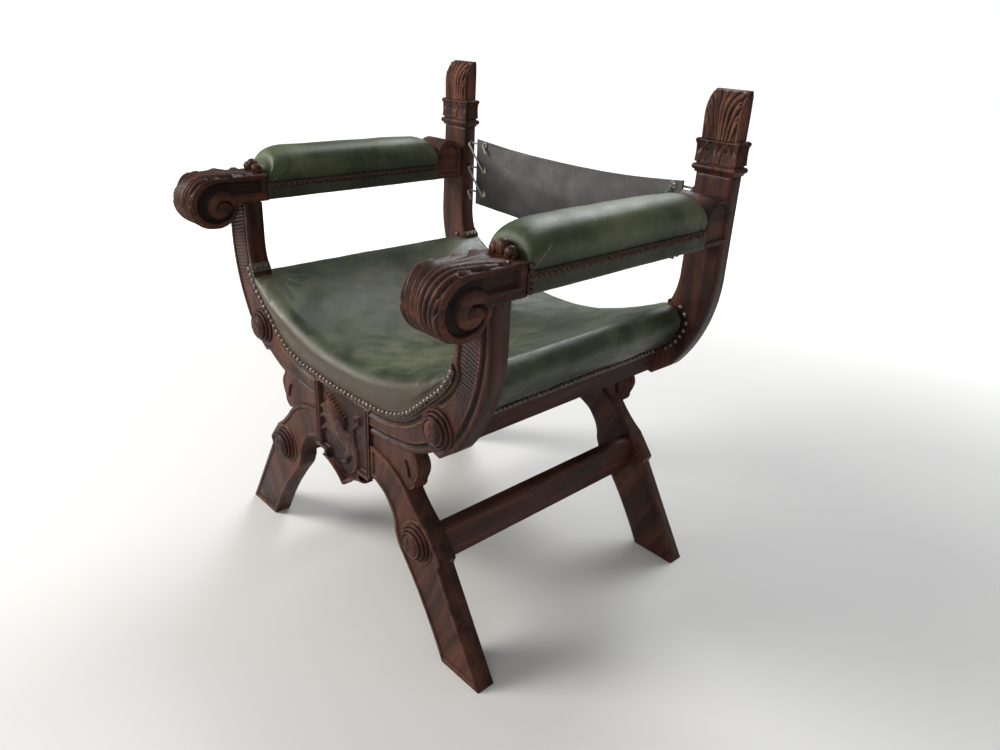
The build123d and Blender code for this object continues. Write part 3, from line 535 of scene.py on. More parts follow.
def member(name, outer, inner, front, back, faceHeight, finish, count=70, side=1):
    # a closed timber: a carved face between two outlines, its two edges and a plain back
    share = 0.5 - 0.5 * np.cos(pi * (0.12 + 0.76 * np.linspace(0, 1, count)))
    share = (share - share[0]) / (share[-1] - share[0])
    width = np.hypot(*(inner - outer).T)[:, None]
    fromOuter = share * width
    face = towards(outer, inner, share)
    height, relief = faceHeight(face[..., 0], face[..., 1], fromOuter, width - fromOuter)
    r = timber["edgeRadius"]
    yFace = front(face[..., 1]) + fallBack(np.minimum(fromOuter, width - fromOuter), r) - height
    strips, marks = [gridOf(face[..., 0], yFace, face[..., 1])], [relief]
    for path, depths in ((inner, timber["wallDepths"]), (outer, timber["wallDepths"][::-1])):
        x, z = path.T[:, :, None]
        strips.append(gridOf(x, front(z) + r + (back - r - front(z)) * np.array(depths), z))
        marks.append(np.full((len(path), len(depths)), timber["plainMark"]))
    grid = np.concatenate(strips, axis=1)
    first, last = endFaces(*grid.shape[:2])
    faces = gridFaces(*grid.shape[:2], wrapCol=True) + [first, last[::-1]]
    return makeMesh(name, onSide(grid, side), faces, finish, {"relief": np.concatenate(marks, axis=1)}, merge=0.01)


uprightFace = {
    "band": 8.0, "bandDrop": 2.4, "innerBand": 7.0, "innerStart": 12.5, "seatEdge": 530.0,
    # place and half width of the grooves and beads, counted from the outer or the inner edge
    "outerGroove": (12.0, 3.4), "innerGroove": (10.5, 2.4), "outerBead": (18.5, 1.6), "innerBead": (16.0, 2.0),
    "grooveDepth": 4.0, "innerShare": 0.75, "beadRise": 1.2, "outerBeadShare": 0.8,
    # the slanted ridges, and where they begin from either edge
    "ridgePitch": 6.2, "ridgeDepth": 1.7, "ridgeLow": 486.0, "ridgeLean": 0.35, "ridgeTurn": radians(17),
    "ridgeOuter": 18.0, "ridgeInner": 14.0, "rosette": chair["upperRosette"], "plainRadius": 38.0,
}


def frontUprightFace(x, z, fromOuter, fromInner):
    f = uprightFace
    around = ledge(np.hypot(x - f["rosette"][0], z - f["rosette"][1]), f["plainRadius"], 1.2)
    band = np.where(fromOuter < f["band"], -f["bandDrop"] * (1 - fromOuter / f["band"]) ** 2, 0)
    # below the seat leather's edge the inner border starts further in
    fromInner = fromInner - f["innerStart"] * ledge(f["seatEdge"] - z, 0, 5)
    groove = bell(fromOuter, *f["outerGroove"]) + f["innerShare"] * bell(fromInner, *f["innerGroove"])
    carvedPart = ledge(z, f["ridgeLow"] + f["ridgeLean"] * (x - 290), 5)
    bead = bell(fromInner, *f["innerBead"]) * (1 - carvedPart)
    bead = (bead + f["outerBeadShare"] * bell(fromOuter, *f["outerBead"])) * around
    along = (z * cos(f["ridgeTurn"]) + x * sin(f["ridgeTurn"])) / f["ridgePitch"]
    rows = carvedPart * ledge(fromOuter, f["ridgeOuter"], 0.7) * ledge(fromInner, f["ridgeInner"], 0.7)
    ridge = (np.abs((along % 1) - 0.5) * 2 - 1) * rows
    height = band + f["beadRise"] * bead + f["ridgeDepth"] * ridge - f["grooveDepth"] * groove * around
    onBand = (fromOuter < f["band"]) | (fromInner < f["innerBand"])
    return height, unit(0.5 + 0.16 * height + 0.30 * bead + 0.30 * ridge + 0.12 * rows + 0.26 * onBand)


legFace = {
    "border": 7.0, "sink": 2.4, "beadRise": 0.5, "rosette": chair["lowerRosette"], "plainRadius": 37.0,
    # place and half width of the bead, the cut beside it and the step to the ground
    "bead": (5.8, 1.3), "cut": (8.8, 1.3), "ground": (8.0, 0.55),
    # a border also runs down beside the middle block: its x, and the height it ends at
    "block": (82.0, 200.0), "footSlope": 0.86,
}


def frontLegFace(x, z, fromOuter, fromInner):
    f = legFace
    away = np.hypot(x - f["rosette"][0], z - f["rosette"][1])
    edge = np.minimum(np.minimum(fromOuter, fromInner), z * f["footSlope"])
    edge = np.minimum(edge, away - f["plainRadius"] + f["border"])
    edge = np.where(z > f["block"][1], np.minimum(edge, x - f["block"][0]), edge)
    bead = bell(edge, *f["bead"])
    height = f["beadRise"] * bead - f["sink"] * ledge(edge, *f["ground"])
    return height, unit(0.5 - 0.36 * bell(edge, *f["cut"]) + 0.3 * bead + 0.2 * (edge < f["border"]))


def plainFace(x, z, fromOuter, fromInner):
    return np.zeros_like(x), np.full_like(x, timber["plainMark"])


def taperedFront(z):
    return chair["rearFrame"] + timber["taper"] * unit((z - timber["taperFrom"]) / timber["taperLong"])


def buildFrames():
    fronts = {"flat": lambda z: 0 * z, "rear": lambda z: 0 * z + chair["rearFrame"], "tapered": taperedFront}
    upper, legs = pairedRuns(upperPairs, [0.8, 0.8, 1.4, 1.6]), pairedRuns(legPairs, [1.6])
    posts, rearLegs = pairedRuns([postPair] + upperPairs, [5.0]), pairedRuns(legPairs, [5.0])
    thick, rearFace = chair["frontThick"], chair["rearFace"]
    for label, s in sides:
        leg, up = finishes["oakLeg" if s > 0 else "oakLegLeft"], finishes["oakCarvedUp"]
        for name, node, runs, front, back, face, finish, count in (
            ("uprightFront", "front_upright_", upper, "flat", thick, frontUprightFace, up, 84),
            ("legFront", "front_leg_", legs, "flat", thick, frontLegFace, leg, 70),
            ("postRear", "rear_post_", posts, "tapered", rearFace, plainFace, up, 12),
            ("legRear", "rear_leg_", rearLegs, "rear", rearFace, plainFace, leg, 12),
        ):
            obj = member(name + label.title(), *runs, fronts[front], back, face, finish, count, s)
            carry(obj, "dark_oak", node + label)


buildFrames()
print("frames built")

# seat: one skin over the crown, the rolls and the turned-down edges
seat = {
    "thick": 2.6, "roll": 25.0, "frontPuff": 4.0, "flange": 13.0, "climb": 534.0, "tuck": 6.0,
    "front": -2.9, "rear": 539.9, "frameBack": 33.3, "rearFrame": 504.7,
    # the skin meets the uprights at this x, between the crown over the opening and its lower edge
    "meets": 276.4,
    "crown": [(-288, 516), (-262, 508), (-200, 484), (-100, 453), (0, 444), (100, 453), (200, 484), (262, 508),
              (288, 516)],
    "lowerRuns": [[(0, 398), (41.1, 399), (82, 402)], [(82, 402), (115, 404), (148, 411)],
                  [(148, 411), (178, 424), (203, 443)], [(203, 443), (256, 490)], [(256, 490), (281, 528), (290, 572)]],
    "sideRuns": [[(288, 516), (305, 505), (311, 486)], [(311, 486), (299, 458), (262.2, 426)],
                 [(262.2, 426), (262.0, 414)]],
    # along the turned-down edge: share of the way from its end, and how far it stands off the timber
    "edgeRows": ((0.0, 1.32), (0.05, 0.2), (0.5, 0.2), (1.0, 0.2)),
    "wallEdgeRows": ((0.0, -0.9), (0.05, 0.2), (0.5, 0.2), (1.0, 0.2)),
    "faceRows": (0.16, 0.34, 0.52, 0.70, 0.86, 1.0), "rollRows": 9, "joinRows": (0.2, 0.4, 0.6, 0.8),
    "cols": 66, "topRows": 118, "sideCols": 62, "wallRows": 9, "rearWallRows": 4, "wallCols": 8,
    # where it is pressed down: middle, half sizes and depth
    "hollow": ((12, 285), (150, 165), 7.0),
    # waves over it: height, then seed, count, longest and shortest
    "slack": (1.5, 11, 26, 190, 55), "smallSlack": (0.5, 12, 30, 60, 22),
    # the corners by the uprights, where the pulls come from, and how far off they are strongest
    "pullCorners": ((276, 33, -1), (-276, 33, -1), (276, 505, 1), (-276, 505, 1)), "pullReach": (34, 38),
}
crownAt = cubicThrough(seat["crown"])


def seatHollows(x, y):
    # where a sitter has pressed it down, and the slack round that
    (cx, cy), (halfX, halfY), depth = seat["hollow"]
    total = -depth * bell(x, cx, halfX) * bell(y, cy, halfY)
    for height, *layer in (seat["slack"], seat["smallSlack"]):
        total = total + height * waves(x, y, *layer)
    return total


def seatCreases(x, y):
    # fine pulls that run in from the corners by the uprights
    total = np.zeros(np.broadcast(x, y).shape)
    for cx, cy, way in seat["pullCorners"]:
        angle = np.arctan2(y - cy, x - cx)
        total += np.sin(angle * 13 + way) ** 3 * bell(np.hypot(x - cx, y - cy), *seat["pullReach"])
    return total


def seatEnd(lower, into, height, face, way):
    # from the turned-down edge up the face and over the roll, at one end of the seat
    s = seat
    x, low = lower.T
    top = crownAt(x)
    roll = np.minimum(s["roll"], height * 0.7)
    puff = s["frontPuff"] * unit(height / 30)
    rows = []
    for share, off in s["edgeRows"]:
        at = lower + into * s["flange"] * (1 - share)
        rows.append(gridOf(at[:, 0], face - way * off, at[:, 1]))
    for share in s["faceRows"]:
        rows.append(gridOf(x, face - way * puff * np.sin(pi * 0.5 * share), low + (height - roll) * share))
    for turn in np.linspace(0, pi / 2, s["rollRows"])[1:]:
        y = face - way * puff * cos(turn) + way * roll * (1 - cos(turn))
        rows.append(gridOf(x, y, top - roll + roll * sin(turn)))
    return rows


def seatSide(patches, grid, firstRow, ys):
    # the two sides under the arms, each from the edge of the top down
    s = seat
    side = resample(run([(s["meets"], crownAt(s["meets"])), (288, 516)], *s["sideRuns"]), s["sideCols"])
    out = normals2d(side)
    along = alongOf(side)
    bulge = unit(along / 30) * unit((along[-1] - along) / 26)
    near = np.minimum(ys - ys[0], ys[-1] - ys)[:, None]
    tuck = -s["tuck"] * unit(1 - near / 9) ** 2
    pleat = 1.1 * np.sin(along * 0.33) * np.exp(-near / 20)
    for way, column in ((1, -1), (-1, 0)):
        wob = 1.3 * waves(along[None, :] * 1.6, ys[:, None] * way, 31, 24, 150, 40)
        # the normal of this profile points away from the stuffing
        push = (wob + pleat + tuck) * bulge
        patch = gridOf((side[:, 0] + out[:, 0] * push) * way, ys[:, None], side[:, 1] + out[:, 1] * push)
        patch[:, 0] = grid[firstRow : firstRow + len(ys), column]
        patches.add(patch, flip=way < 0)


def seatWalls(patches, edge, corner):
    # strips that climb the inner faces of the uprights, lower on the rear posts than on the front
    s = seat
    wall = edge[(edge[:, 0] >= s["meets"]) & (edge[:, 1] < s["climb"])]
    top = [np.interp(s["climb"], edge[:, 1], edge[:, 0]), s["climb"]]
    full = resample(np.vstack([corner, wall, top]), s["wallRows"])
    fullOff = normals2d(full)
    for way in (1, -1):
        for face, inward, to in ((s["front"], 1, s["frameBack"]), (s["rear"], -1, s["rearFrame"])):
            count = s["wallRows"] if inward > 0 else s["rearWallRows"]
            wall, off = full[:count], fullOff[:count]
            up = np.linspace(0, 1, count)[:, None]
            thin, narrow = s["thick"] * (1 - 0.8 * up**3), s["flange"] * (1 - 0.75 * up**4)
            strip = []
            for share, stand in s["wallEdgeRows"]:
                at = wall - off * narrow * (1 - share)
                strip.append(gridOf(at[:, 0], face - inward * stand, at[:, 1]))
            at = wall + off * thin
            begin = face + inward * s["thick"] * 0.3
            for y in np.linspace(begin, to, s["wallCols"]):
                strip.append(gridOf(at[:, 0], y, at[:, 1]))
            patches.add(np.array(strip) * (way, 1, 1), flip=way * inward < 0)


def buildSeat():
    s = seat
    edge = run(*s["lowerRuns"])
    edge = edge[np.r_[True, np.diff(edge[:, 0]) > 1e-6]]
    cut = int(np.searchsorted(edge[:, 0], s["meets"]))
    corner = [s["meets"], np.interp(s["meets"], edge[:, 0], edge[:, 1])]
    half = resample(np.vstack([edge[:cut], corner]), s["cols"])
    lower, into = bothSides(half), bothSides(-normals2d(half))
    x, low = lower.T
    height = np.maximum(crownAt(x) - low, 0.6)
    front, rear = (seatEnd(lower, into, height, s[end], way) for end, way in (("front", 1), ("rear", -1)))
    first, last = front[-1][:, 1], rear[-1][:, 1]
    ys = np.linspace(s["frameBack"], s["rearFrame"], s["topRows"])
    inFront = [first + (s["frameBack"] - first) * k for k in s["joinRows"]]
    inRear = [last + (s["rearFrame"] - last) * k for k in s["joinRows"][::-1]]
    tops = [gridOf(x, y, crownAt(x)) for y in inFront + list(ys) + inRear]
    grid = np.array(front + tops + rear[::-1])
    gx, gy, gz = np.moveaxis(grid, -1, 0)
    flatAmount = unit((gz - low - 8) / 22) * ledge(275 - np.abs(gx), 6, 2)
    ends = unit((gy - s["front"]) / 60) * unit((s["rear"] - gy) / 60)
    grid[..., 2] += flatAmount * (seatHollows(gx, gy) * (0.25 + 0.75 * ends) + 0.8 * seatCreases(gx, gy))
    patches = Patches()
    patches.add(grid)
    seatSide(patches, grid, len(front) + len(inFront), ys)
    seatWalls(patches, edge, half[-1])
    points = patches.all()
    obj = makeMesh("seatLeather", points, patches.faces, finishes["seat"], seatMarks(*points.T), merge=0.05)
    wallOf(obj, s["thick"] - 0.3)
    carry(obj, "green_leather", "seat_leather", "seat_stuffing")
    buildUnderside(edge)


def seatMarks(x, y, z):
    # worn brown on the front roll; painted shade low on the sides under the arms and in the corners by the uprights,
    # with random dirt over it; pale along the pulls, where the creases are worn and carry a painted highlight
    crown = crownAt(np.clip(x, -288, 288))
    level = unit((z - crown + 20) / 20) * ledge(290 - np.abs(x), 4, 2)
    fine = waves(x, y + z, 41, 40, 60, 12)
    frontFace = ledge(14 - y, 0, 4) * unit((crown - 4 - z) / 12)
    low = unit((crown - 34 - z) / 18) * ledge(np.abs(x), 262, 4)
    tuckLine = bell(np.abs(x), 274, 8) * (ledge(44 - y, 0, 6) + ledge(y, 496, 6)) * unit((z - 506) / 6)
    return {
        "worn": 1.25 * frontFace + 0.45 * unit(waves(x, y * 1.4, 42, 30, 260, 60) - 0.35) * level,
        # painted shade: the low sides and the tuck line in the corners are darkened; only the waves are dirt
        "dirt": unit(0.6 * low + 0.5 * tuckLine + 0.30 * unit(waves(x, y, 43, 24, 300, 90))),
        "crease": 0.9 * level * np.clip(seatCreases(x, y) - 0.25, 0, 0.5) * unit(0.5 + 0.4 * fine),
    }


under = {
    "reach": 231.0, "above": 3.4, "overlap": 28.0, "hessianThick": 1.2,
    "straps": 7, "pitch": 66.0, "strapHalf": 25.0, "strapThick": 1.6, "strapAbove": 1.4, "sag": 1.6,
    "ends": (0.5, 536.5), "middle": 268.0, "hang": 240.0,
}


def buildUnderside(edge):
    # hessian on top of the webbing, seen from below between the straps
    u = under
    half = resample(edge[edge[:, 0] <= u["reach"]], 60)
    line = bothSides(half + normals2d(half) * u["above"])
    ys = np.linspace(seat["frameBack"] - u["overlap"], seat["rearFrame"] + u["overlap"], 40)[:, None]
    grid = gridOf(line[:, 0], ys, line[:, 1] + 0.5 * waves(line[None, :, 0], ys, 51, 20, 90, 30))
    obj = makeMesh("seatHessian", grid, flipped(gridFaces(*grid.shape[:2])), finishes["hessian"])
    wallOf(obj, u["hessianThick"])
    carry(obj, "stuffing")
    # straps across it from front to back
    ys = np.linspace(*u["ends"], 60)[:, None]
    for number in range(u["straps"]):
        middle = (number - u["straps"] // 2) * u["pitch"]
        xs = np.linspace(middle - u["strapHalf"], middle + u["strapHalf"], 14)
        sag = -u["sag"] * unit(1 - ((ys - u["middle"]) / u["hang"]) ** 2) ** 0.5 * (1 + 0.3 * sin(number * 2.1))
        grid = gridOf(xs, ys, np.interp(np.abs(xs), *half.T) + u["strapAbove"] + sag)
        obj = makeMesh("seatStrap%d" % (number + 1), grid, flipped(gridFaces(*grid.shape[:2])), finishes["web"])
        wallOf(obj, u["strapThick"])
        carry(obj, "webbing", *(["seat_webbing"] if number == 0 else []))


buildSeat()
print("seat built")

# nails, spread over the places of the CAD heads
nail = {
    "radius": 5.1, "rise": 4.6, "around": 14, "seed": 7, "uneven": 0.07,
    # a low dome with a thin rolled rim: radius and height as shares
    "profile": [(0.35, 0.94), (0.62, 0.78), (0.84, 0.50), (0.97, 0.18), (1.0, 0.02)],
}


def headPlaces(nodeName):
    # middle and outward way of each small solid in a node
    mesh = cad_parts[nodeName].data
    flat = np.empty(len(mesh.vertices) * 3)
    mesh.vertices.foreach_get("co", flat)
    turn = np.array(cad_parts[nodeName].matrix_world)
    points = flat.reshape(-1, 3) @ turn[:3, :3].T + turn[:3, 3]
    same = np.unique(np.round(points * 1e5).astype(np.int64), axis=0, return_inverse=True)[1].ravel()
    faces = [tuple(same[v] for v in f.vertices) for f in mesh.polygons]
    parent = list(range(same.max() + 1))

    def root(i):
        while parent[i] != i:
            parent[i] = parent[parent[i]]
            i = parent[i]
        return i

    for f in faces:
        for v in f[1:]:
            parent[root(v)] = root(f[0])
    groups = {}
    for index, f in enumerate(faces):
        groups.setdefault(root(f[0]), []).append(index)
    places = []
    for members in groups.values():
        # the flat underside has the largest area that faces one way
        sums = {}
        for index in members:
            a, b, c = (points[v] for v in mesh.polygons[index].vertices[:3])
            across = np.cross(b - a, c - a) / 2
            size = np.linalg.norm(across)
            if size < 1e-12:
                continue
            total = sums.setdefault(tuple(np.round(across / size, 2)), [0.0, np.zeros(3), np.zeros(3)])
            total[0] += size
            total[1] += across
            total[2] += size * (a + b + c) / 3
        area, across, weighted = max(sums.values(), key=lambda t: t[0])
        places.append((weighted / area, -across / np.linalg.norm(across)))
    return places


def nailHead():
    n, tall, wide = nail["around"], nail["rise"] / 1000, nail["radius"] / 1000
    turn = 2 * pi * np.arange(n) / n
    rings = [gridOf(radius * wide * np.cos(turn), radius * wide * np.sin(turn), rise * tall)
             for radius, rise in nail["profile"]]
    faces = [(0, 1 + k, 1 + (k + 1) % n) for k in range(n)]
    for ring in range(len(rings) - 1):
        a, b = 1 + ring * n, 1 + (ring + 1) * n
        faces += [(a + k, b + k, b + (k + 1) % n, a + (k + 1) % n) for k in range(n)]
    faces.append(tuple(1 + (len(rings) - 1) * n + k for k in range(n))[::-1])
    mesh = bpy.data.meshes.new("nailHead")
    mesh.from_pydata(np.vstack([[(0, 0, tall)], *rings]).tolist(), [], faces)
    mesh.polygons.foreach_set("use_smooth", [True] * len(mesh.polygons))
    return addObject("nailHead", mesh)


def spreadTree(name):
    # copies of one object on the points of another, each turned to its point's own way
    tree = bpy.data.node_groups.new(name, "GeometryNodeTree")
    for label, kind in (("Geometry", "Geometry"), ("Shape", "Object"), ("Uneven", "Float"), ("Seed", "Int"),
                        ("Material", "Material")):
        tree.interface.new_socket(label, in_out="INPUT", socket_type="NodeSocket" + kind)
    tree.interface.new_socket("Geometry", in_out="OUTPUT", socket_type="NodeSocketGeometry")
    kit = NodeKit(tree)
    source = kit.add("NodeGroupInput").outputs
    info = kit.add("GeometryNodeObjectInfo", {"Object": source["Shape"]})
    way = kit.add("GeometryNodeInputNamedAttribute", {"Name": "way"}, data_type="FLOAT_VECTOR")
    align = kit.add("FunctionNodeAlignRotationToVector", {"Vector": way.outputs["Attribute"]}, axis="Z")
    tilt = kit.add("FunctionNodeRandomValue", data_type="FLOAT_VECTOR", inputs={
        "Seed": source["Seed"], "Min": kit.times(source["Uneven"], -1.0), "Max": source["Uneven"]})
    copies = kit.add("GeometryNodeInstanceOnPoints", {
        "Points": source["Geometry"], "Instance": info.outputs["Geometry"], "Rotation": align.outputs["Rotation"]})
    turn = kit.add("GeometryNodeRotateInstances", {
        "Instances": copies.outputs["Instances"], "Rotation": tilt.outputs["Value"]})
    real = kit.add("GeometryNodeRealizeInstances", {"Geometry": turn.outputs["Instances"]})
    paint = kit.add("GeometryNodeSetMaterial", {
        "Geometry": real.outputs["Geometry"], "Material": source["Material"]})
    kit.add("NodeGroupOutput", {"Geometry": paint.outputs["Geometry"]})
    return tree


def spreadShape(name, places, tree, inputs):
    mesh = bpy.data.meshes.new(name)
    mesh.from_pydata([tuple(p) for p, _ in places], [], [])
    layer = mesh.attributes.new("way", "FLOAT_VECTOR", "POINT")
    layer.data.foreach_set("vector", np.array([w for _, w in places], dtype=np.float32).ravel())
    obj = addObject(name, mesh)
    mod = obj.modifiers.new("spread", "NODES")
    mod.node_group = tree
    for item in tree.interface.items_tree:
        if item.in_out == "INPUT" and item.name in inputs:
            mod[item.identifier] = inputs[item.name]
    bpy.context.view_layer.update()
    made = bpy.data.meshes.new_from_object(obj.evaluated_get(bpy.context.evaluated_depsgraph_get()))
    obj.modifiers.remove(mod)
    obj.data = made
    bpy.data.meshes.remove(mesh)
    made.name = name
    return obj


# the short rows on the inner faces of the rear posts, and up the ends of the arm covers:
# count, first place, step up and outward way, on the right
extraRows = {
    "seatNailHeads": (3, (275.2, 511.0, 517.0), (0, 9.6, 0), (-0.92, 0.0, 0.38)),
    "armNailHeads": (5, (370.0, 53.6, 648.5), (0, 0, 8.4), (1.0, 0.0, 0.0)),
}


def extraHeads(pieceName):
    start, step, outward = np.array(extraRows[pieceName][1:])
    return [(place((start + step * k) * (way, 1, 1))[0], outward * (way, 1, 1))
            for way in (1, -1) for k in range(extraRows[pieceName][0])]


spreadNodes = spreadTree("spreadOverPlaces")
headShape = nailHead()
for nodeName, pieceName, metal in (("seat_nails", "seatNailHeads", "brass"), ("arm_nails", "armNailHeads", "rusted")):
    heads = spreadShape(pieceName, headPlaces(nodeName) + extraHeads(pieceName), spreadNodes, {
        "Shape": headShape, "Uneven": nail["uneven"], "Seed": nail["seed"], "Material": finishes[metal]})
    carry(heads, "nail_brass", nodeName)
bpy.data.objects.remove(headShape)
print("nails placed")

# arm pads
pad = {
    "centre": 331.5, "low": 672.3, "half": 37.0, "top": 730.5, "front": 49.4, "rear": 439.6, "endRound": 40.0,
    "rows": 150, "cols": 64, "caps": 9, "underCols": 6, "nose": 0.5, "lean": {"right": 1.0, "left": 14.0},
    "seeds": {"right": 60, "left": 90}, "pleatStart": 8.0, "pleatLean": 52.0, "pleatTop": 0.64,
    # across the pad, from the foot of one side to the crown: x as a share of the half width, and height
    "section": [(-0.965, 0.0), (-1.02, 0.18), (-1.085, 0.42), (-1.06, 0.60), (-0.93, 0.78), (-0.70, 0.905),
                (-0.38, 0.98), (0.0, 1.0)],
}


def padSection(share):
    side = np.array(pad["section"])
    full = np.vstack([side, side[-2::-1] * (-1, 1)])
    knots = alongOf(full) / alongOf(full)[-1]
    return [cubicThrough(np.column_stack([knots, column]))(share) for column in full.T]


def padPleats(y, across, up):
    # a leg over the end rests on the pad, and a fold runs up from each corner
    p = pad
    fold, line = np.zeros_like(y), np.zeros_like(y)
    for near, isFront in ((y - p["front"], True), (p["rear"] - y, False)):
        for side in (-1, 1):
            track = p["pleatStart"] + p["pleatLean"] * up
            away = near - track * unit((side * across - 0.25) / 0.75) ** 0.4
            strong = unit((side * across - 0.45) / 0.3) * unit((p["pleatTop"] - up) / 0.08)
            fold += strong * (1.7 * bell(away, -6.5, 5.5) - 1.8 * bell(away, 0, 2.2))
            # line is a pale mark along each front fold: a worn crease with a painted highlight on it
            line += strong * bell(away, 0, 0.8) * isFront
    return fold, line


def buildPads():
    p = pad
    sx, sz = padSection(np.linspace(0, 1, p["cols"]))
    ys = p["front"] + (p["rear"] - p["front"]) * (0.5 - 0.5 * np.cos(pi * np.linspace(0, 1, p["rows"])))
    ys = ys[:, None]
    height = p["top"] - p["low"]
    # the ends round off, the front one more slowly
    toEnd = unit(1 - np.minimum((ys - p["front"]) * p["nose"], p["rear"] - ys) / p["endRound"])
    power = np.where(ys > 200, 2.2, 3.0)
    rounding = (1 - toEnd**power) ** (1 / power)
    tall = (0.42 + 0.58 * rounding) * (1 - 0.07 * unit((ys - 330) / 110))
    grid = gridOf(sx * p["half"] * (0.93 + 0.07 * rounding), ys, p["low"] + sz * height * tall)
    across, y, up = grid[..., 0] / p["half"], grid[..., 1], (grid[..., 2] - p["low"]) / height
    fold, line = padPleats(y, across, up)
    for label, s in sides:
        g = grid.copy()
        seed = p["seeds"][label]
        # the front end leans back behind the bud
        g[..., 1] += p["lean"][label] * sz * np.exp(-(y - p["front"]) / 30)
        wob = 0.9 * waves(g[..., 0] * 1.3, y, seed, 26, 160, 38) * unit(up * 3)
        pulls = 0.35 * np.sin(y * 0.42 + s) * unit(1 - up / 0.35)
        push = wob + fold + pulls
        g[..., 0] += np.sign(across) * unit(np.abs(across) - 0.35) * push
        g[..., 2] += unit(up - 0.4) * 1.5 * push
        patches = Patches()
        patches.add(g)
        # each end closes on its own middle, a little puffed
        for end, way in ((0, -1), (-1, 1)):
            ring = g[end]
            middle = np.array([0.0, ring[:, 1].mean(), p["low"] + 0.46 * (ring[:, 2].max() - p["low"])])
            inward = 1 - np.arange(p["caps"] + 1)[:, None, None] / p["caps"]
            cap = middle + (ring - middle) * inward
            cap[1:, :, 1] += way * 0.25 * (1 - inward[1:, :, 0] ** 2)
            patches.add(cap, flip=way < 0)
        # the flat underside
        first, last = g[:, :1], g[:, -1:]
        patches.add(first + (last - first) * np.linspace(0, 1, p["underCols"])[None, :, None], flip=True)
        points = patches.all()
        crease = np.r_[line.ravel(), np.zeros(len(points) - line.size)]
        upAll = (points[:, 2] - p["low"]) / height
        worn = 0.20 * unit(waves(points[:, 0], points[:, 1], seed + 1, 24, 120, 30))
        worn += 1.4 * bell(points[:, 1], 150, 40) * np.clip(upAll - 0.9, 0, 0.1)
        # painted shade: the dark mark grows towards the bottom of the pad
        marks = {"worn": worn, "dirt": unit(0.9 - upAll * 2.2) * 0.75, "crease": unit(crease) * 0.85}
        points[:, 0] = (points[:, 0] + p["centre"]) * s
        obj = makeMesh("armPad" + label.title(), points, patches.faces, finishes["pad"], marks, merge=0.02, fill=True)
        carry(obj, "green_leather", "arm_pad_" + label)
        buildCover(label, s)


cover = {"low": 643.0, "high": 672.0, "gimpLow": 663.4, "out": 0.9, "round": 5.0, "wider": 0.5, "rows": 130}


def buildCover(label, s):
    # leather drawn round the rail under the pad, with a stitched gimp over its upper edge
    c = cover
    outside = -pad["half"] - c["wider"] - c["out"]
    turn = np.linspace(0, pi / 2, 6)[1:]
    drop = np.r_[c["high"] - 0.2, np.linspace(c["high"] - 1, c["low"] + c["round"], 20)]
    corner = np.column_stack([outside + c["round"] * (1 - np.cos(turn)),
                              c["low"] - c["out"] + c["round"] * (1 - np.sin(turn))])
    left = np.vstack([np.column_stack([np.full(len(drop), outside), drop]), corner])
    x, z = np.vstack([left, left[::-1] * (-1, 1)]).T
    ys = np.linspace(pad["front"], pad["rear"] + 0.2, c["rows"])[:, None]
    sag = 0.8 * waves(0 * ys, ys, 71 + s, 20, 130, 36)
    x = x + np.sign(x) * 0.35 * sag * unit((c["high"] - z) / 12)
    z = z + 0.5 * sag * unit((660 - z) / 15)
    grid = gridOf((x + pad["centre"]) * s, ys, z)
    rows, cols = grid.shape[:2]
    faces = gridFaces(rows, cols) + list(endFaces(rows, cols))
    faces += [[k * cols, (k + 1) * cols, (k + 2) * cols - 1, (k + 1) * cols - 1] for k in range(rows - 1)]
    gimp = unit((z - c["gimpLow"]) / 1.2)
    # painted shade: below the gimp the leather under the pad is darkened
    marks = {"worn": gimp, "dirt": np.clip(0.75 - gimp, 0.1, 0.75), "crease": 0 * z}
    obj = makeMesh("armCover" + label.title(), grid, faces, finishes["pad"], marks, merge=0.02)
    carry(obj, "green_leather", "arm_rail_" + label)


buildPads()
print("pads built")

# back sling
sling = {
    "half": 262.0, "mid": 521.0, "sag": 17.0, "thick": 3.0, "high": 725.0, "low": 589.0, "dip": 11.0, "topDip": 17.0,
    "eyeletX": 241.0, "eyeletHeights": (613.0, 664.0, 714.0), "bore": 5.0, "rows": 84, "cols": 300,
    "foldDepth": 2.0, "diagonalDepth": 3.5, "topLean": 3.5,
}
slingRadius = (sling["half"] ** 2 + sling["sag"] ** 2) / (2 * sling["sag"])


def slingDepth(x):
    return sling["mid"] + sling["sag"] - slingRadius + np.sqrt(slingRadius**2 - np.asarray(x, dtype=float) ** 2)


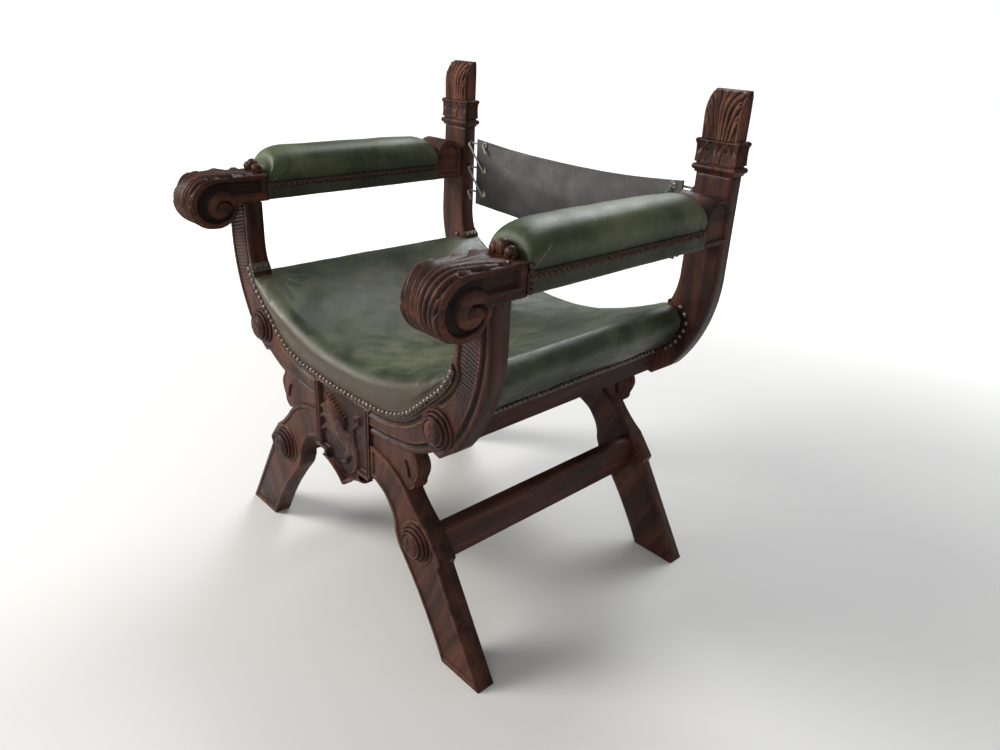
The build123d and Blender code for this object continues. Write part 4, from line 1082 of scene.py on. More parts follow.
def buildSling():
    s = sling
    xs = np.linspace(-s["half"], s["half"], s["cols"])
    share = np.linspace(0, 1, s["rows"])[:, None]
    curve = 1 - (xs / s["half"]) ** 2
    low = s["low"] - s["dip"] * curve
    z = low + (s["high"] - s["topDip"] * curve - low) * share
    x = np.broadcast_to(xs, z.shape)
    eyelets = [(side * s["eyeletX"], height) for side in (-1, 1) for height in s["eyeletHeights"]]
    # it hangs slack: the middle leans back at the top, and folds run in from the eyelets
    inside = unit((s["half"] - np.abs(x) - 30) / 60)
    slack = 2.6 * waves(x, z * 0.7, 81, 22, 420, 120) + 0.8 * waves(x, z, 82, 26, 110, 40)
    folds = np.zeros_like(z)
    for eyeX, eyeZ in eyelets:
        reach = np.abs(eyeX - x)
        folds += bell(z - eyeZ, 0.06 * reach, 5 + 0.10 * reach) * np.exp(-reach / 90)
    diagonal = bell(z - 655 + 0.60 * (x + 175), 0, 22) * bell(x, -165, 95)
    y = slingDepth(x) + inside * (slack + s["foldDepth"] * (folds - 0.4) - s["diagonalDepth"] * diagonal)
    grid = gridOf(x, y + s["topLean"] * curve * (2 * share - 1), z)
    # the faces over the eyelets are left out
    faces = np.array(gridFaces(*grid.shape[:2]))
    middles = grid.reshape(-1, 3)[faces].mean(axis=1)
    faces = faces[nearestOf(middles[:, 0], middles[:, 2], eyelets) > s["bore"]].tolist()
    # painted shade: the lower part, where the sling faces down, is darkened; the edges are darkened as well, and the
    # waves add dirt
    lower = unit((0.52 - share - 0.0008 * x) / 0.1)
    edge = np.minimum(np.minimum(share, 1 - share) * (s["high"] - s["low"]), s["half"] - np.abs(x))
    marks = {
        "worn": unit(0.4 * waves(x, z, 84, 30, 260, 60)) * 0.5,
        "dirt": unit(0.55 * lower + 0.35 * np.exp(-edge / 5) + 0.25 * waves(x, z, 83, 20, 200, 60)),
        "crease": 0 * z,
    }
    obj = makeMesh("backSling", grid, faces, finishes["sling"], marks)
    tool = bmesh.new()
    tool.from_mesh(obj.data)
    bmesh.ops.delete(tool, geom=[v for v in tool.verts if not v.link_faces], context="VERTS")
    tool.to_mesh(obj.data)
    tool.free()
    wallOf(obj, s["thick"], offset=0.0)
    carry(obj, "sling_leather", "back_sling")
    return obj


slingPiece = buildSling()

# laces
lace = {
    "radius": 2.0, "stand": 6.0, "tail": (12.0, 16.0), "around": 12, "bend": 3.0, "rows": 620, "twist": 1.9,
    # loopX is where the cord passes the staple on the post
    "loopX": 284.1, "eyeletLip": 4.0, "play": 0.3, "strands": 3, "strandDepth": 0.13,
}


def roundedCorners(points, radius, steps=5):
    points = np.array(points, dtype=float)
    out = [points[0]]
    for before, here, after in zip(points, points[1:], points[2:]):
        a, b = before - here, after - here
        la, lb = np.linalg.norm(a), np.linalg.norm(b)
        cut = min(radius, la * 0.45, lb * 0.45)
        start, end = here + a / la * cut, here + b / lb * cut
        for t in np.arange(steps + 1) / steps:
            out.append(start * (1 - t) ** 2 + 2 * here * t * (1 - t) + end * t**2)
    return np.array(out + [points[-1]])


def tube(path, radius, around, twist=0.0, strands=3, strandDepth=0.0):
    # a round cord along a path, closed at both ends, its strands laid as a screw
    step = np.gradient(path, axis=0)
    step /= np.linalg.norm(step, axis=1)[:, None]
    side = np.cross(step[0], (0.31, 0.52, 0.79))
    turn = np.linspace(0, 2 * pi, around, endpoint=False)
    rings = []
    for point, way, along in zip(path, step, alongOf(path)):
        side = side - way * side.dot(way)
        side /= np.linalg.norm(side)
        r = radius * (1 + strandDepth * np.cos(strands * turn + twist * along))
        rings.append(point + np.outer(r * np.cos(turn), side) + np.outer(r * np.sin(turn), np.cross(way, side)))
    first, last = endFaces(len(rings), around)
    return np.array(rings), gridFaces(len(rings), around, wrapCol=True) + [first[::-1], last]


def buildLaces():
    lean = (sling["thick"] / 2 + 1.0) * sling["eyeletX"] / slingRadius
    eyeX = sling["eyeletX"] + lace["eyeletLip"] - lace["radius"] - lace["play"] - lean
    eyeY, midY, loopX = float(slingDepth(sling["eyeletX"])), sling["mid"], lace["loopX"]
    stand, heights, (tailX, tailZ) = lace["stand"], sling["eyeletHeights"], lace["tail"]
    points = [(eyeX - tailX, eyeY - stand, heights[-1] - tailZ)]
    for z in reversed(heights):
        # from the front to the back through the eyelet, and to the front again round the staple
        points += [(eyeX, eyeY - stand, z), (eyeX, eyeY + stand, z), (loopX, midY + stand, z), (loopX, midY - stand, z)]
    points.append((loopX - tailX, midY - stand, heights[0] - tailZ))
    path = roundedCorners(points, lace["bend"])
    print("lace length", round(float(alongOf(path)[-1]), 1), "mm")
    grid, faces = tube(resample(path, lace["rows"]), lace["radius"], lace["around"], lace["twist"], lace["strands"],
                       lace["strandDepth"])
    for label, s in sides:
        finish = finishes["cordDark" if s > 0 else "cord"]
        obj = makeMesh("lace" + label.title(), onSide(grid, s), faces, finish, merge=0.001)
        carry(obj, "lace_cord", "lacing_" + label)


buildLaces()
print("sling and laces built")

# arm scrolls: a leaf over the top and a volute on each side
scroll = {
    "inner": 294.0, "outer": 369.0, "head": (-50.0, 645.0), "radius": 43.0, "top": 688.0, "end": 49.0,
    "foot": 641.0, "close": -8.0, "coil": (-38.0, 636.0), "spineHigh": 664.5, "depth": 6.4, "edgeRound": 1.8,
    # low, high and rear end of the sunk panel behind the coil
    "panel": (657.0, 680.0, 38.5),
    "straightRows": 96, "headRows": 150, "across": 66, "toSpine": 46,
    "leafStart": 46.0, "leafEnd": 272.0, "leafRise": 3.6, "leafScoop": 2.8,
}
# the groove of the coil: how far round it has turned, then its middle and half width there
coilGroove = {
    "turned": (0, 60, 90, 135, 180, 225, 270, 315, 360, 405, 450),
    "middle": (38.0, 34.4, 31.6, 26.2, 20.0, 17.4, 16.0, 13.4, 11.4, 9.2, 7.6),
    "half": (7.0, 8.8, 8.2, 5.6, 3.5, 2.9, 2.6, 2.5, 2.3, 1.8, 0.9),
    # by angle: the outer edge of the coil's body, and how gently the body rises from the groove
    "shoulder": ((0, 200, 280, 360), (31.0, 24.0, 28.0, 31.0)),
    "gentle": ((0, 200, 250, 310, 345, 360), (2.0, 2.0, 8.0, 9.0, 3.0, 2.0)),
    "squash": 1.12, "raise": 3.0, "lateTurn": 250.0, "hookEnd": 462.0, "rimBead": (7.4, 1.3), "rimBeadRise": 0.7,
}


def voluteRelief(y, z, rim):
    # height of the carved side and how raised or sunk each place is
    s, g = scroll, coilGroove
    cy, cz = s["coil"]
    rho = np.hypot((y - cy) / g["squash"], z - cz)
    sweep = (np.degrees(np.arctan2(z - cz, y - cy)) - 90) % 360
    (middle, half), (middleTwo, halfTwo) = (
        [np.interp(at, g["turned"], g[key]) for key in ("middle", "half")] for at in (sweep, sweep + 360))
    inHook = unit((g["hookEnd"] - sweep - 360) / 14)
    first = stepTo(half - np.abs(rho - middle), 0.5, 2.6)
    second = stepTo(halfTwo - np.abs(rho - middleTwo), 0.4, 2.2) * inHook
    low, high, end = s["panel"]
    inPanel = np.minimum(np.minimum(z - low, high - z), end - y)
    # the coil's own top rises into the panel
    shoulder = np.interp(sweep, *g["shoulder"])
    late = sweep > g["lateTurn"]
    panelCut = stepTo(inPanel, 0.4, 2.6) * stepTo(rho - shoulder, 0.4, 2.6) * (y > cy - 1)
    cut = np.maximum(np.maximum(first * np.where(late, 0.75, 1.0), second * 0.65), panelCut)
    toFirst = np.where(late, shoulder, middle - half) - rho
    toSecond = np.where(inHook > 0, np.abs(rho - middleTwo) - halfTwo, farAway)
    deepIn = np.maximum(np.minimum(toFirst, toSecond), 0)
    dome = (1 - np.exp(-deepIn / np.interp(sweep, *g["gentle"]))) * (toFirst > 0) * (1 - cut)
    rimBead = g["rimBeadRise"] * bell(rim, *g["rimBead"]) * (1 - cut) * (z > low - 4)
    scratch = 0.22 * waves(y, z, 101, 30, 14, 3)
    height = g["raise"] * dome - s["depth"] * cut + rimBead + scratch * (1 - 0.5 * cut)
    return height, unit(0.5 - 0.46 * np.maximum(cut * (y < -20), cut * 0.62) + 0.24 * dome + 0.3 * rimBead)


# where the lobes of a leaf begin, counted from its spine along its edge
lobeEdges = np.array([0.0, 0.10, 0.27, 0.46, 0.67, 0.90, 1.25])


def acanthus(p, v, rise, scoop):
    # a leaf rooted at p = 0 with its tip at p = 1; its lobes sweep out to the edges as they climb
    side = np.abs(v)
    line = side * unit(1 - p) ** 0.85
    lobe = np.clip(np.searchsorted(lobeEdges, line, side="right") - 1, 0, len(lobeEdges) - 2)
    f = unit((line - lobeEdges[lobe]) / (lobeEdges[lobe + 1] - lobeEdges[lobe]))
    # each lobe climbs out of a deep cut to a sharp crest, then drops to the next cut
    rising, falling = 0.5 - 0.5 * np.cos(pi * unit(f / 0.80)), 0.5 + 0.5 * np.cos(pi * (f - 0.80) / 0.20)
    crest = np.where(f < 0.80, rising, falling)
    crest = np.where(lobe == 0, 1 - 0.9 * bell(line, 0, 0.022) - 0.5 * f**4, crest)
    reach = np.clip(0.45 + p * 1.4, 0.45, 1)
    flute = scoop * reach * (1.25 * crest - 1.0 - 0.22 * bell(f, 0.52, 0.05) * (lobe > 0))
    # toothed edges: a pointed tip where each crest runs out
    bite = np.where(lobe > 1, (f * 2) % 1, f)
    tooth = np.where(p < 0.98, 0.77 + (0.12 * f + 0.10 * bite**1.6) * unit(p * 4), 0.7)
    tail = stepTo(p, 0.0, 0.04) * stepTo(1.0 - p, 0.02, 0.05)
    leaf = stepTo(tooth - side, 0.0, 0.05) * tail
    curl = 0.55 * bell(side, tooth - 0.10, 0.07) * unit(p * 2.5)
    body = rise * (0.45 + 0.55 * unit(p * 2)) + flute + scoop * curl * unit((1.02 - p) * 5)
    ground = -0.35 * scoop * stepTo(0.93 - side, 0, 0.05) * tail
    relief = 0.5 + leaf * (0.34 * (crest - 0.62) + 0.18 * curl - 0.5 * (crest < 0.14))
    return leaf * body + (1 - leaf) * ground, unit(relief - 0.34 * (1 - leaf) * (side < 0.93) * tail)


def scrollOutline():
    # the outline from the block over the top, round the head and back below, and its spine
    s = scroll
    (hy, hz), (cy, cz), r = s["head"], s["coil"], s["radius"]
    neck = hz - np.sqrt(r**2 - (s["close"] - hy) ** 2)
    top = resample([(s["end"], s["top"]), (cy, s["top"])], s["straightRows"])
    head = run([(cy, s["top"]), (hy, s["top"])], [(hy, s["top"]), (hy - r, hz), (hy, hz - r)],
               [(hy, hz - r), (hy + r * sin(pi / 4), hz - r * cos(pi / 4)), (s["close"], neck)])
    head = resample(head, s["headRows"])
    low = resample([(s["close"], neck), (s["close"], s["foot"]), (s["end"], s["foot"])], s["straightRows"])
    spine = resample([(s["end"], s["spineHigh"]), (cy, cz)], s["straightRows"])
    middle = np.vstack([spine[:-1], np.repeat(spine[-1:], len(head) - 1, axis=0), spine[::-1]])
    return np.vstack([top[:-1], head[:-1], low]), middle


def buildScrolls():
    s = scroll
    outline, middle = scrollOutline()
    rows = len(outline)
    # the two flanks
    flank = towards(outline, middle, np.linspace(0, 1, s["toSpine"]) ** 1.15)
    rim = outlineDistance(flank, np.vstack([outline, [s["end"], s["spineHigh"]]]))
    height, relief = voluteRelief(flank[..., 0], flank[..., 1], rim)
    height = height - fallBack(rim, s["edgeRound"])
    # the strip across, over the top and round the head
    steps = alongOf(outline)
    fromHead = steps[s["straightRows"] + s["headRows"] - 3] - steps
    v = np.linspace(-1, 1, s["across"])
    v = np.sign(v) * np.abs(v) ** 0.9
    half, centre = (s["outer"] - s["inner"]) / 2, (s["outer"] + s["inner"]) / 2
    out = -normals2d(outline)
    out[0], out[-1] = out[1], out[-2]
    p = (fromHead[:, None] - s["leafStart"]) / (s["leafEnd"] - s["leafStart"]) + 0 * v
    lift, leafMark = acanthus(p, v + 0 * p, s["leafRise"], s["leafScoop"])
    lift = lift - fallBack(half - np.abs(v) * half, s["edgeRound"])
    (x, z), (outX, outZ) = outline.T[:, :, None], out.T[:, :, None]
    strip = gridOf(v * half, x + outX * lift, z + outZ * lift)
    # the flanks follow the strip's own edges near the rim
    blend = unit(1 - rim / 3.0)[..., None] ** 2
    parts, marks = [strip], [leafMark]
    for side, edge in ((1, strip[:, -1]), (-1, strip[:, 0])):
        face = gridOf(side * (half + height), flank[..., 0], flank[..., 1])
        face += (edge - np.column_stack([np.full(rows, side * half), outline]))[:, None, :] * blend
        if side > 0:
            parts.append(face[:, 1:])
            marks.append(relief[:, 1:])
        else:
            parts.insert(0, face[:, :0:-1])
            marks.insert(0, relief[:, :0:-1])
    grid = np.concatenate(parts, axis=1) + (centre, 0, 0)
    cols = grid.shape[1]
    # the rear end closes across
    first, last = endFaces(rows, cols)
    faces = gridFaces(rows, cols) + [[a, b, c, d] for a, b, c, d in zip(first, first[1:], last[1:], last)]
    marks = {"relief": np.concatenate(marks, axis=1)}
    for label, way in sides:
        name = "armScroll" + label.title()
        obj = makeMesh(name, onSide(grid, way), faces, finishes["oakDeepCarved"], marks, merge=0.02, fill=True)
        carry(obj, "dark_oak", "arm_scroll_" + label)
        buildBud(label, way, centre)


bud = {
    # of each husk: place across, height of its middle, and half sizes
    "husks": [(-14.5, 696.0, 8.6, 9.5, 8.5), (0.0, 699.5, 9.6, 10.5, 11.5), (14.5, 696.0, 8.6, 9.5, 8.5)],
    "y": 40.5, "rings": 18, "around": 28, "split": 0.16, "splitWide": 0.22,
    "collarHalf": 23.0, "collarY": 41.0, "collarZ": 690.0, "collarRadius": 5.2,
}


def buildBud(label, way, centre):
    # three husks in a row on the rear edge of the block, each split by a groove
    b = bud
    patches, marks = Patches(), []
    polar = np.linspace(0, pi, b["rings"])[:, None]
    turn = np.linspace(0, 2 * pi, b["around"], endpoint=False)
    split = 1 - b["split"] * bell(np.cos(turn), 0, b["splitWide"]) * np.sin(polar) ** 2
    for dx, z, rx, ry, rz in b["husks"]:
        x = centre + dx + rx * np.sin(polar) * np.cos(turn) * split
        grid = gridOf(x * way, b["y"] + ry * np.sin(polar) * np.sin(turn) * split, z + rz * np.cos(polar))
        patches.add(grid, wrapCol=True)
        marks.append(unit(1.05 - 4.0 * (1 - split)).ravel())
    # the rolled collar they stand on
    xs = (centre + np.linspace(-b["collarHalf"], b["collarHalf"], 30)) * way
    cord, faces = tube(gridOf(xs, b["collarY"], b["collarZ"]), b["collarRadius"], 16)
    patches.add(cord, faces=faces)
    marks.append(np.full(cord[..., 0].size, 0.4))
    obj = makeMesh("armBud" + label.title(), patches.all(), patches.faces, finishes["oakGloss"],
                   {"relief": np.concatenate(marks)}, merge=0.01)
    carry(obj, "dark_oak", "arm_bud_" + label)


buildScrolls()
print("scrolls built")

# stepped roundels with a quartered boss
roundel = {
    "radius": 33.0, "step": 5.0, "rise": 4.6, "steps": 3, "around": 96, "corner": 2.4,
    # behind each step: how far in and how far back the hollow runs
    "hollow": ((3.2, 0.2), (4.0, 1.2), (4.8, 2.0)), "bossHeight": 5.2,
}


def roundelProfile():
    # radius and reach from the rim to the middle, and the radius of the boss
    r = roundel
    profile = [(r["radius"], 0.4), (r["radius"], -0.6)]
    radius, reach = r["radius"], 0.0
    for step in range(r["steps"]):
        top = -(step + 1) * r["rise"]
        for t in np.arange(7) / 6 * pi / 2:
            profile.append((radius - r["corner"] * (1 - cos(t)), reach - 0.6 + (top - reach + 0.6) * sin(t)))
        profile += [(radius - inward, top + back) for inward, back in r["hollow"]]
        radius -= r["step"]
        reach = top + 1.4
    boss = radius - 0.4
    profile += [(boss * cos(t), reach - r["bossHeight"] * sin(t)) for t in np.arange(10) / 9 * pi / 2]
    return *np.array(profile).T, boss


def buildRoundels():
    r = roundel
    radii, reach, boss = roundelProfile()
    turn = np.linspace(0, 2 * pi, r["around"], endpoint=False)
    radius = radii[:, None] + 0 * turn
    x, z = radius * np.cos(turn), radius * np.sin(turn)
    inBoss = radius < boss + 0.01
    # four petals, cut apart by a cross
    cut = bell(np.minimum(np.abs(x), np.abs(z)), 0, 1.6) * inBoss * np.clip(radius / 5, 0.25, 1)
    petal = np.abs(np.cos(2 * (turn - pi / 4)))
    tips = 0.9 * bell(radius, boss * 0.62, 4.5) * inBoss * (1 - petal * 0.6)
    slope = np.clip(-0.1 * np.gradient(reach)[:, None], -0.1, 0.2)
    hollow = sum(bell(radii, r["radius"] - step * r["step"] - r["hollow"][-1][0], 1.1) for step in range(r["steps"]))
    relief = unit(np.where(inBoss, 0.70 - 0.42 * cut, 0.5 + slope - 0.45 * hollow[:, None]))
    y = reach[:, None] + 1.5 * cut - tips + 0.12 * waves(x, z, 111, 20, 20, 5)
    faces = gridFaces(*radius.shape, wrapCol=True) + [endFaces(*radius.shape)[0]]
    for name, (cx, cz) in (("upper", chair["upperRosette"]), ("lower", chair["lowerRosette"])):
        grid = gridOf(cx + x, y, cz + z)
        makePair(name + "Roundel", name + "_roundel_", grid, faces, "oakCarvedUp", {"relief": relief})


buildRoundels()
print("roundels built")

# cartouche with its carved beast
cartouche = {
    "half": 82.0, "strip": 12.0, "ground": 5.0, "back": 9.0, "footBack": 16.0, "head": 378.0, "low": 252.0,
    "cols": 190, "rows": 175, "footCols": 160, "footLow": 203.0, "footWide": (66.0, 237.0), "neckHalf": 54.0,
    # the frame turns in under the panel outside this x
    "turnX": 47.0, "turnZ": 256.4, "turnY": 5.4, "lipMiddle": 3.4, "lipHalf": 3.5, "lipRise": 10.6,
    # rise, place and half width of the beads on the strips and under the head
    "stripY": 1.6, "stripBeads": ((1.0, 73.6, 1.2), (0.8, 79.6, 1.0), (-1.4, 76.8, 0.9)),
    "headBeads": ((1.6, 381.6, 1.1), (-0.5, 379.0, 0.8)),
}
# limbs of the beast: start, end, width at each, height
beastLimbs = [
    ((-26, 308), (24, 286), 20, 17, 6.4), ((-30, 314), (-40, 340), 17, 14, 6.6), ((-42, 342), (-63, 333), 10, 5, 6.4),
    ((-52, 328), (-62, 325), 5, 3, 4.8), ((-34, 308), (-58, 320), 8, 5, 6.2), ((-58, 320), (-69, 312), 5, 4, 5.6),
    ((-38, 297), (-56, 298), 8, 5, 5.2), ((-56, 298), (-66, 288), 5, 4, 5.0), ((28, 287), (8, 266), 12, 7, 6.4),
    ((8, 266), (6, 252), 6, 4.5, 5.8), ((6, 252), (-9, 247), 4.5, 4, 5.4), ((32, 282), (38, 262), 11, 6, 5.8),
    ((38, 262), (32, 244), 5.5, 4.5, 5.2), ((32, 244), (20, 236), 4.5, 3.6, 5.0), ((34, 294), (31, 312), 4, 3.2, 5.0),
    ((31, 312), (29, 326), 3.2, 2.8, 4.6), ((29, 326), (38, 334), 2.8, 2.8, 4.4), ((38, 334), (48, 341), 2.8, 3.2, 4.6),
    ((48, 341), (45, 351), 3.4, 3.2, 4.8), ((45, 351), (36, 350), 3.2, 3.0, 4.8), ((36, 350), (35, 342), 3.0, 2.2, 4.4),
    ((-45, 352), (-50, 361), 3.5, 1.5, 5.0), ((-37, 353), (-38, 363), 3.5, 1.5, 5.0),
]
beast = {
    "lower": 0.95, "eye": (-48, 341), "ribs": (2, 294), "ribHalf": (20, 9),
    # the first lock of the mane, its two ends and how far each moves from lock to lock; widths and height
    "mane": ((-40, 361), (-33, 345), (6.2, -3.7), (5.2, -4.2)), "locks": 8, "lock": (3.3, 2.2, 6.4),
}


def closedPlate(front, backY):
    # a carved front, its four edges and a flat back: points and faces
    rows, cols = front.shape[:2]
    faces = gridFaces(rows, cols)
    shift = rows * cols
    faces += flipped(shifted(faces, shift))
    ring = list(range(cols)) + [r * cols + cols - 1 for r in range(1, rows)]
    ring += [(rows - 1) * cols + c for c in range(cols - 2, -1, -1)] + [r * cols for r in range(rows - 2, 0, -1)]
    faces += [[b, a, a + shift, b + shift] for a, b in zip(ring, ring[1:] + ring[:1])]
    return np.stack([front, gridOf(front[..., 0], backY, front[..., 2])]), faces


def limbHeight(x, z, a, b, ra, rb, rise):
    (ax, az), (bx, bz) = a, b
    dx, dz = bx - ax, bz - az
    t = unit(((x - ax) * dx + (z - az) * dz) / (dx * dx + dz * dz))
    away = np.hypot(x - ax - t * dx, z - az - t * dz) / (ra + (rb - ra) * t)
    return rise * np.sqrt(unit(1 - away**2)) ** 0.8


def beastHeight(x, z):
    limbs = [(*limb[:4], limb[4] * beast["lower"]) for limb in beastLimbs]
    # the locks of the mane lie in a row down the neck
    (x0, z0), (x1, z1), (dx0, dz0), (dx1, dz1) = beast["mane"]
    for k in range(beast["locks"]):
        limbs.append(((x0 + dx0 * k, z0 + dz0 * k), (x1 + dx1 * k, z1 + dz1 * k), *beast["lock"]))
    total = np.zeros_like(x)
    for limb in limbs:
        total = np.maximum(total, limbHeight(x, z, *limb))
    eye = np.hypot(x - beast["eye"][0], z - beast["eye"][1])
    total = total - 1.8 * bell(eye, 0, 1.6) + 0.9 * bell(eye, 2.8, 1.0)
    (ribX, ribZ), (ribWide, ribTall) = beast["ribs"], beast["ribHalf"]
    ribs = 0.45 * np.sin((x * 0.9 - z * 0.5) * 0.9) * bell(x, ribX, ribWide) * bell(z, ribZ, ribTall)
    return total + ribs * (total > 3)


def topOfBlock(x):
    return 398 + 4 * (x / 82) ** 2


def cartoucheFace(x, z):
    c = cartouche
    carved = beastHeight(x, z)
    y = c["ground"] + 0.5 * waves(x, z, 121, 30, 26, 6) - carved
    # the beaded strips down both sides, then the plain head
    strips = stepTo(np.abs(x), c["half"] - c["strip"], 1.6) * (z > c["low"] - 0.5)
    bead = sum(rise * bell(np.abs(x), at, width) for rise, at, width in c["stripBeads"])
    y = y * (1 - strips) - strips * (c["stripY"] + bead)
    head = stepTo(z, c["head"], 1.8)
    y = y * (1 - head) + head * sum(rise * bell(z, at, width) for rise, at, width in c["headBeads"])
    relief = 0.42 + 0.05 * carved - 0.20 * (carved < 0.2) * (1 - strips) * (1 - head)
    return y, np.where(head > 0.5, 0.5, np.where(strips > 0.5, 0.5 + 0.25 * bead, relief))


def cartouchePanel():
    c = cartouche
    share = np.linspace(0, 1, c["rows"])[:, None]
    x = np.linspace(-c["half"], c["half"], c["cols"]) + 0 * share
    z = c["low"] + (topOfBlock(x) - c["low"]) * share
    y, relief = cartoucheFace(x, z)
    turnIn = stepTo(np.abs(x), c["turnX"], 1.2) * stepTo(c["turnZ"] - z, 0.0, 1.2)
    y = y * (1 - turnIn) + turnIn * (bell(np.abs(x), 50, 2) - c["turnY"])
    return (*closedPlate(gridOf(x, y, z), c["back"]), unit(relief + 0.15 * turnIn))


def cartoucheFoot():
    # the pointed foot with its rolled lip
    c = cartouche
    wide, wideZ = c["footWide"]
    curve = arcThrough((wide, wideZ), (38, 230), (0, c["footLow"]), 0.8)[::-1]
    zs = np.r_[np.linspace(203.02, 237, 60), np.linspace(237.6, 244, 10), np.linspace(244.4, 252, 12)]
    above = np.interp(zs, [wideZ, 244, c["low"]], [wide, c["neckHalf"], c["neckHalf"]])
    half = np.where(zs <= wideZ, np.interp(zs, curve[:, 1], curve[:, 0]), above)
    x = half[:, None] * np.linspace(-1, 1, c["footCols"])
    z = zs[:, None] + 0 * x
    y, relief = cartoucheFace(x, z)
    rim = nearestOf(x, z, np.vstack([curve, (curve * (-1, 1))[::-1]]))
    roll = np.sqrt(unit(1 - ((rim - c["lipMiddle"]) / c["lipHalf"]) ** 2)) * (z < wideZ + 1.5)
    y = np.where(roll > 0, np.minimum(y, c["ground"] - c["lipRise"] * roll), y)
    hook = stepTo(np.abs(x), c["turnX"] + 0.2, 1.2) * (z >= 241)
    y = y * (1 - hook) - 5.2 * hook
    return (*closedPlate(gridOf(x, y, z), c["footBack"]), unit(np.where(roll > 0, 0.80, relief)))


def buildCartouche():
    patches, marks = Patches(), []
    for plates, faces, relief in (cartouchePanel(), cartoucheFoot()):
        patches.add(plates, faces=faces)
        marks += [relief.ravel(), np.full(relief.size, 0.4)]
    obj = makeMesh("cartouche", patches.all(), patches.faces, finishes["oakCarvedUp"],
                   {"relief": np.concatenate(marks)})
    carry(obj, "dark_oak", "cartouche")


buildCartouche()
print("cartouche built")

# scroll ears between the arches
ear = {
    "front": 4.0, "thick": 25.0, "slot": [(175, 329), (181, 317), (184, 306)], "slotHalf": 3.0, "slotDepth": 5.0,
    "middle": (160.0, 322.0), "flutes": 4, "fluteDepth": 1.6, "depthCols": 50, "faceCols": 52,
    # place and half width of the raised line round the slot and of the groove along the edge
    "rimLine": (5.2, 1.1), "groove": (5.6, 1.0), "softEdge": 1.4,
    "edge": [(196, 370), (199, 362), (196.5, 351), (202, 341), (207, 328), (203.5, 312), (198, 300)],
    "toe": [(198, 300), (197.5, 293), (192, 286), (184, 281)],
    "rest": [(184, 281), (140, 296), (84, 311), (84, 346)], "back": [(84, 346), (150, 352), (196, 370)],
}


def smoothRun(points, count):
    points = np.array(points, dtype=float)
    along = alongOf(points)
    at = np.linspace(0, along[-1], count)
    return np.column_stack([cubicThrough(np.column_stack([along, column]))(at) for column in points.T])


def buildEars():
    e = ear
    outer = np.vstack([smoothRun(e["edge"], 90), smoothRun(e["toe"], 26)[1:]])
    loop = np.vstack([outer, resample(e["rest"], 46)[1:], resample(e["back"], 40)[1:-1]])
    middle = np.array(e["middle"])
    out = -normals2d(np.vstack([loop[-1:], loop, loop[:1]]))[1:-1]
    if (out * (loop - middle)).sum() < 0:
        out = -out
    isOuter = (np.arange(len(loop)) < len(outer))[:, None]
    # the fluted edge, and the face with its slot
    depth = np.linspace(0, 1, e["depthCols"])
    flute = -e["fluteDepth"] * np.abs(np.cos(pi * e["flutes"] * depth)) ** 1.6
    soft = unit(1 - np.minimum(depth, 1 - depth) * e["thick"] / e["softEdge"]) ** 2
    push = flute * isOuter - soft
    share = np.linspace(0, 1, e["faceCols"])
    face = towards(loop, middle, share)
    x, z = face[..., 0], face[..., 1]
    gap = nearestOf(x, z, run(e["slot"]))
    cut = stepTo(e["slotHalf"] - gap, 0.0, 1.2)
    rimLine = 0.8 * bell(gap, *e["rimLine"])
    fromEdge = share * np.hypot(*(middle - loop).T)[:, None]
    groove = bell(fromEdge, *e["groove"]) * isOuter
    height = rimLine - e["slotDepth"] * cut - 1.3 * groove - unit(1 - fromEdge / e["softEdge"]) ** 2
    relief = unit(0.5 - 0.45 * cut - 0.3 * groove + 0.25 * rimLine)
    (loopX, loopZ), (outX, outZ) = loop.T[:, :, None], out.T[:, :, None]
    wallMark = np.full((len(loop), len(depth) - 2), 0.5) + 0.1 * (flute[1:-1] + 0.8)
    mark = unit(np.concatenate([relief[:, ::-1], wallMark, np.full(relief.shape, 0.45)], axis=1))
    for name, base in (("front", 0.0), ("rear", chair["rearFrame"])):
        near = base + e["front"]
        walls = gridOf(loopX + outX * push, near + depth * e["thick"], loopZ + outZ * push)
        plane, rear = gridOf(x, near - height, z), gridOf(x, near + e["thick"], z)
        plane[:, 0], rear[:, 0] = walls[:, 0], walls[:, -1]
        grid = np.concatenate([plane[:, ::-1], walls[:, 1:-1], rear], axis=1)
        faces = gridFaces(*grid.shape[:2], wrapRow=True)
        makePair(name + "Ear", name + "_ear_", grid, faces, "oakCarvedUp", {"relief": mark})


buildEars()
print("ears built")

# carved caps and leaf finials on the rear posts
cap = {
    "centre": (324.0, 523.5), "half": (34.0, 13.5), "stand": 4.0, "foot": 763.5, "arch": 28.0, "archHalf": 10.5,
    "longCols": 74, "shortCols": 30, "drum": (762.5, 795.0), "leafFoot": 772.0, "splitZ": (749.0, 759.0),
    # depths and rises of the arches, what lies between them, the hole, the beads and the leaf tips
    "archDepth": 1.1, "mouldingRise": 0.7, "betweenDepth": 2.3, "holeDepth": 2.8, "beadRise": 1.7, "leafRise": 2.2,
    # height and how far out: the bottom mouldings, the waist and the top
    "base": [(746.0, -0.4), (746.0, 1.0), (747.5, 2.4), (749.4, 2.4)],
    "neck": [(760.6, 1.2), (762.0, 1.2), (762.7, 3.2)],
    "brow": [(794.8, 4.0), (796.4, 4.2), (798.0, 3.8), (799.4, 2.6), (800.0, 1.0), (800.2, -6.0)],
}


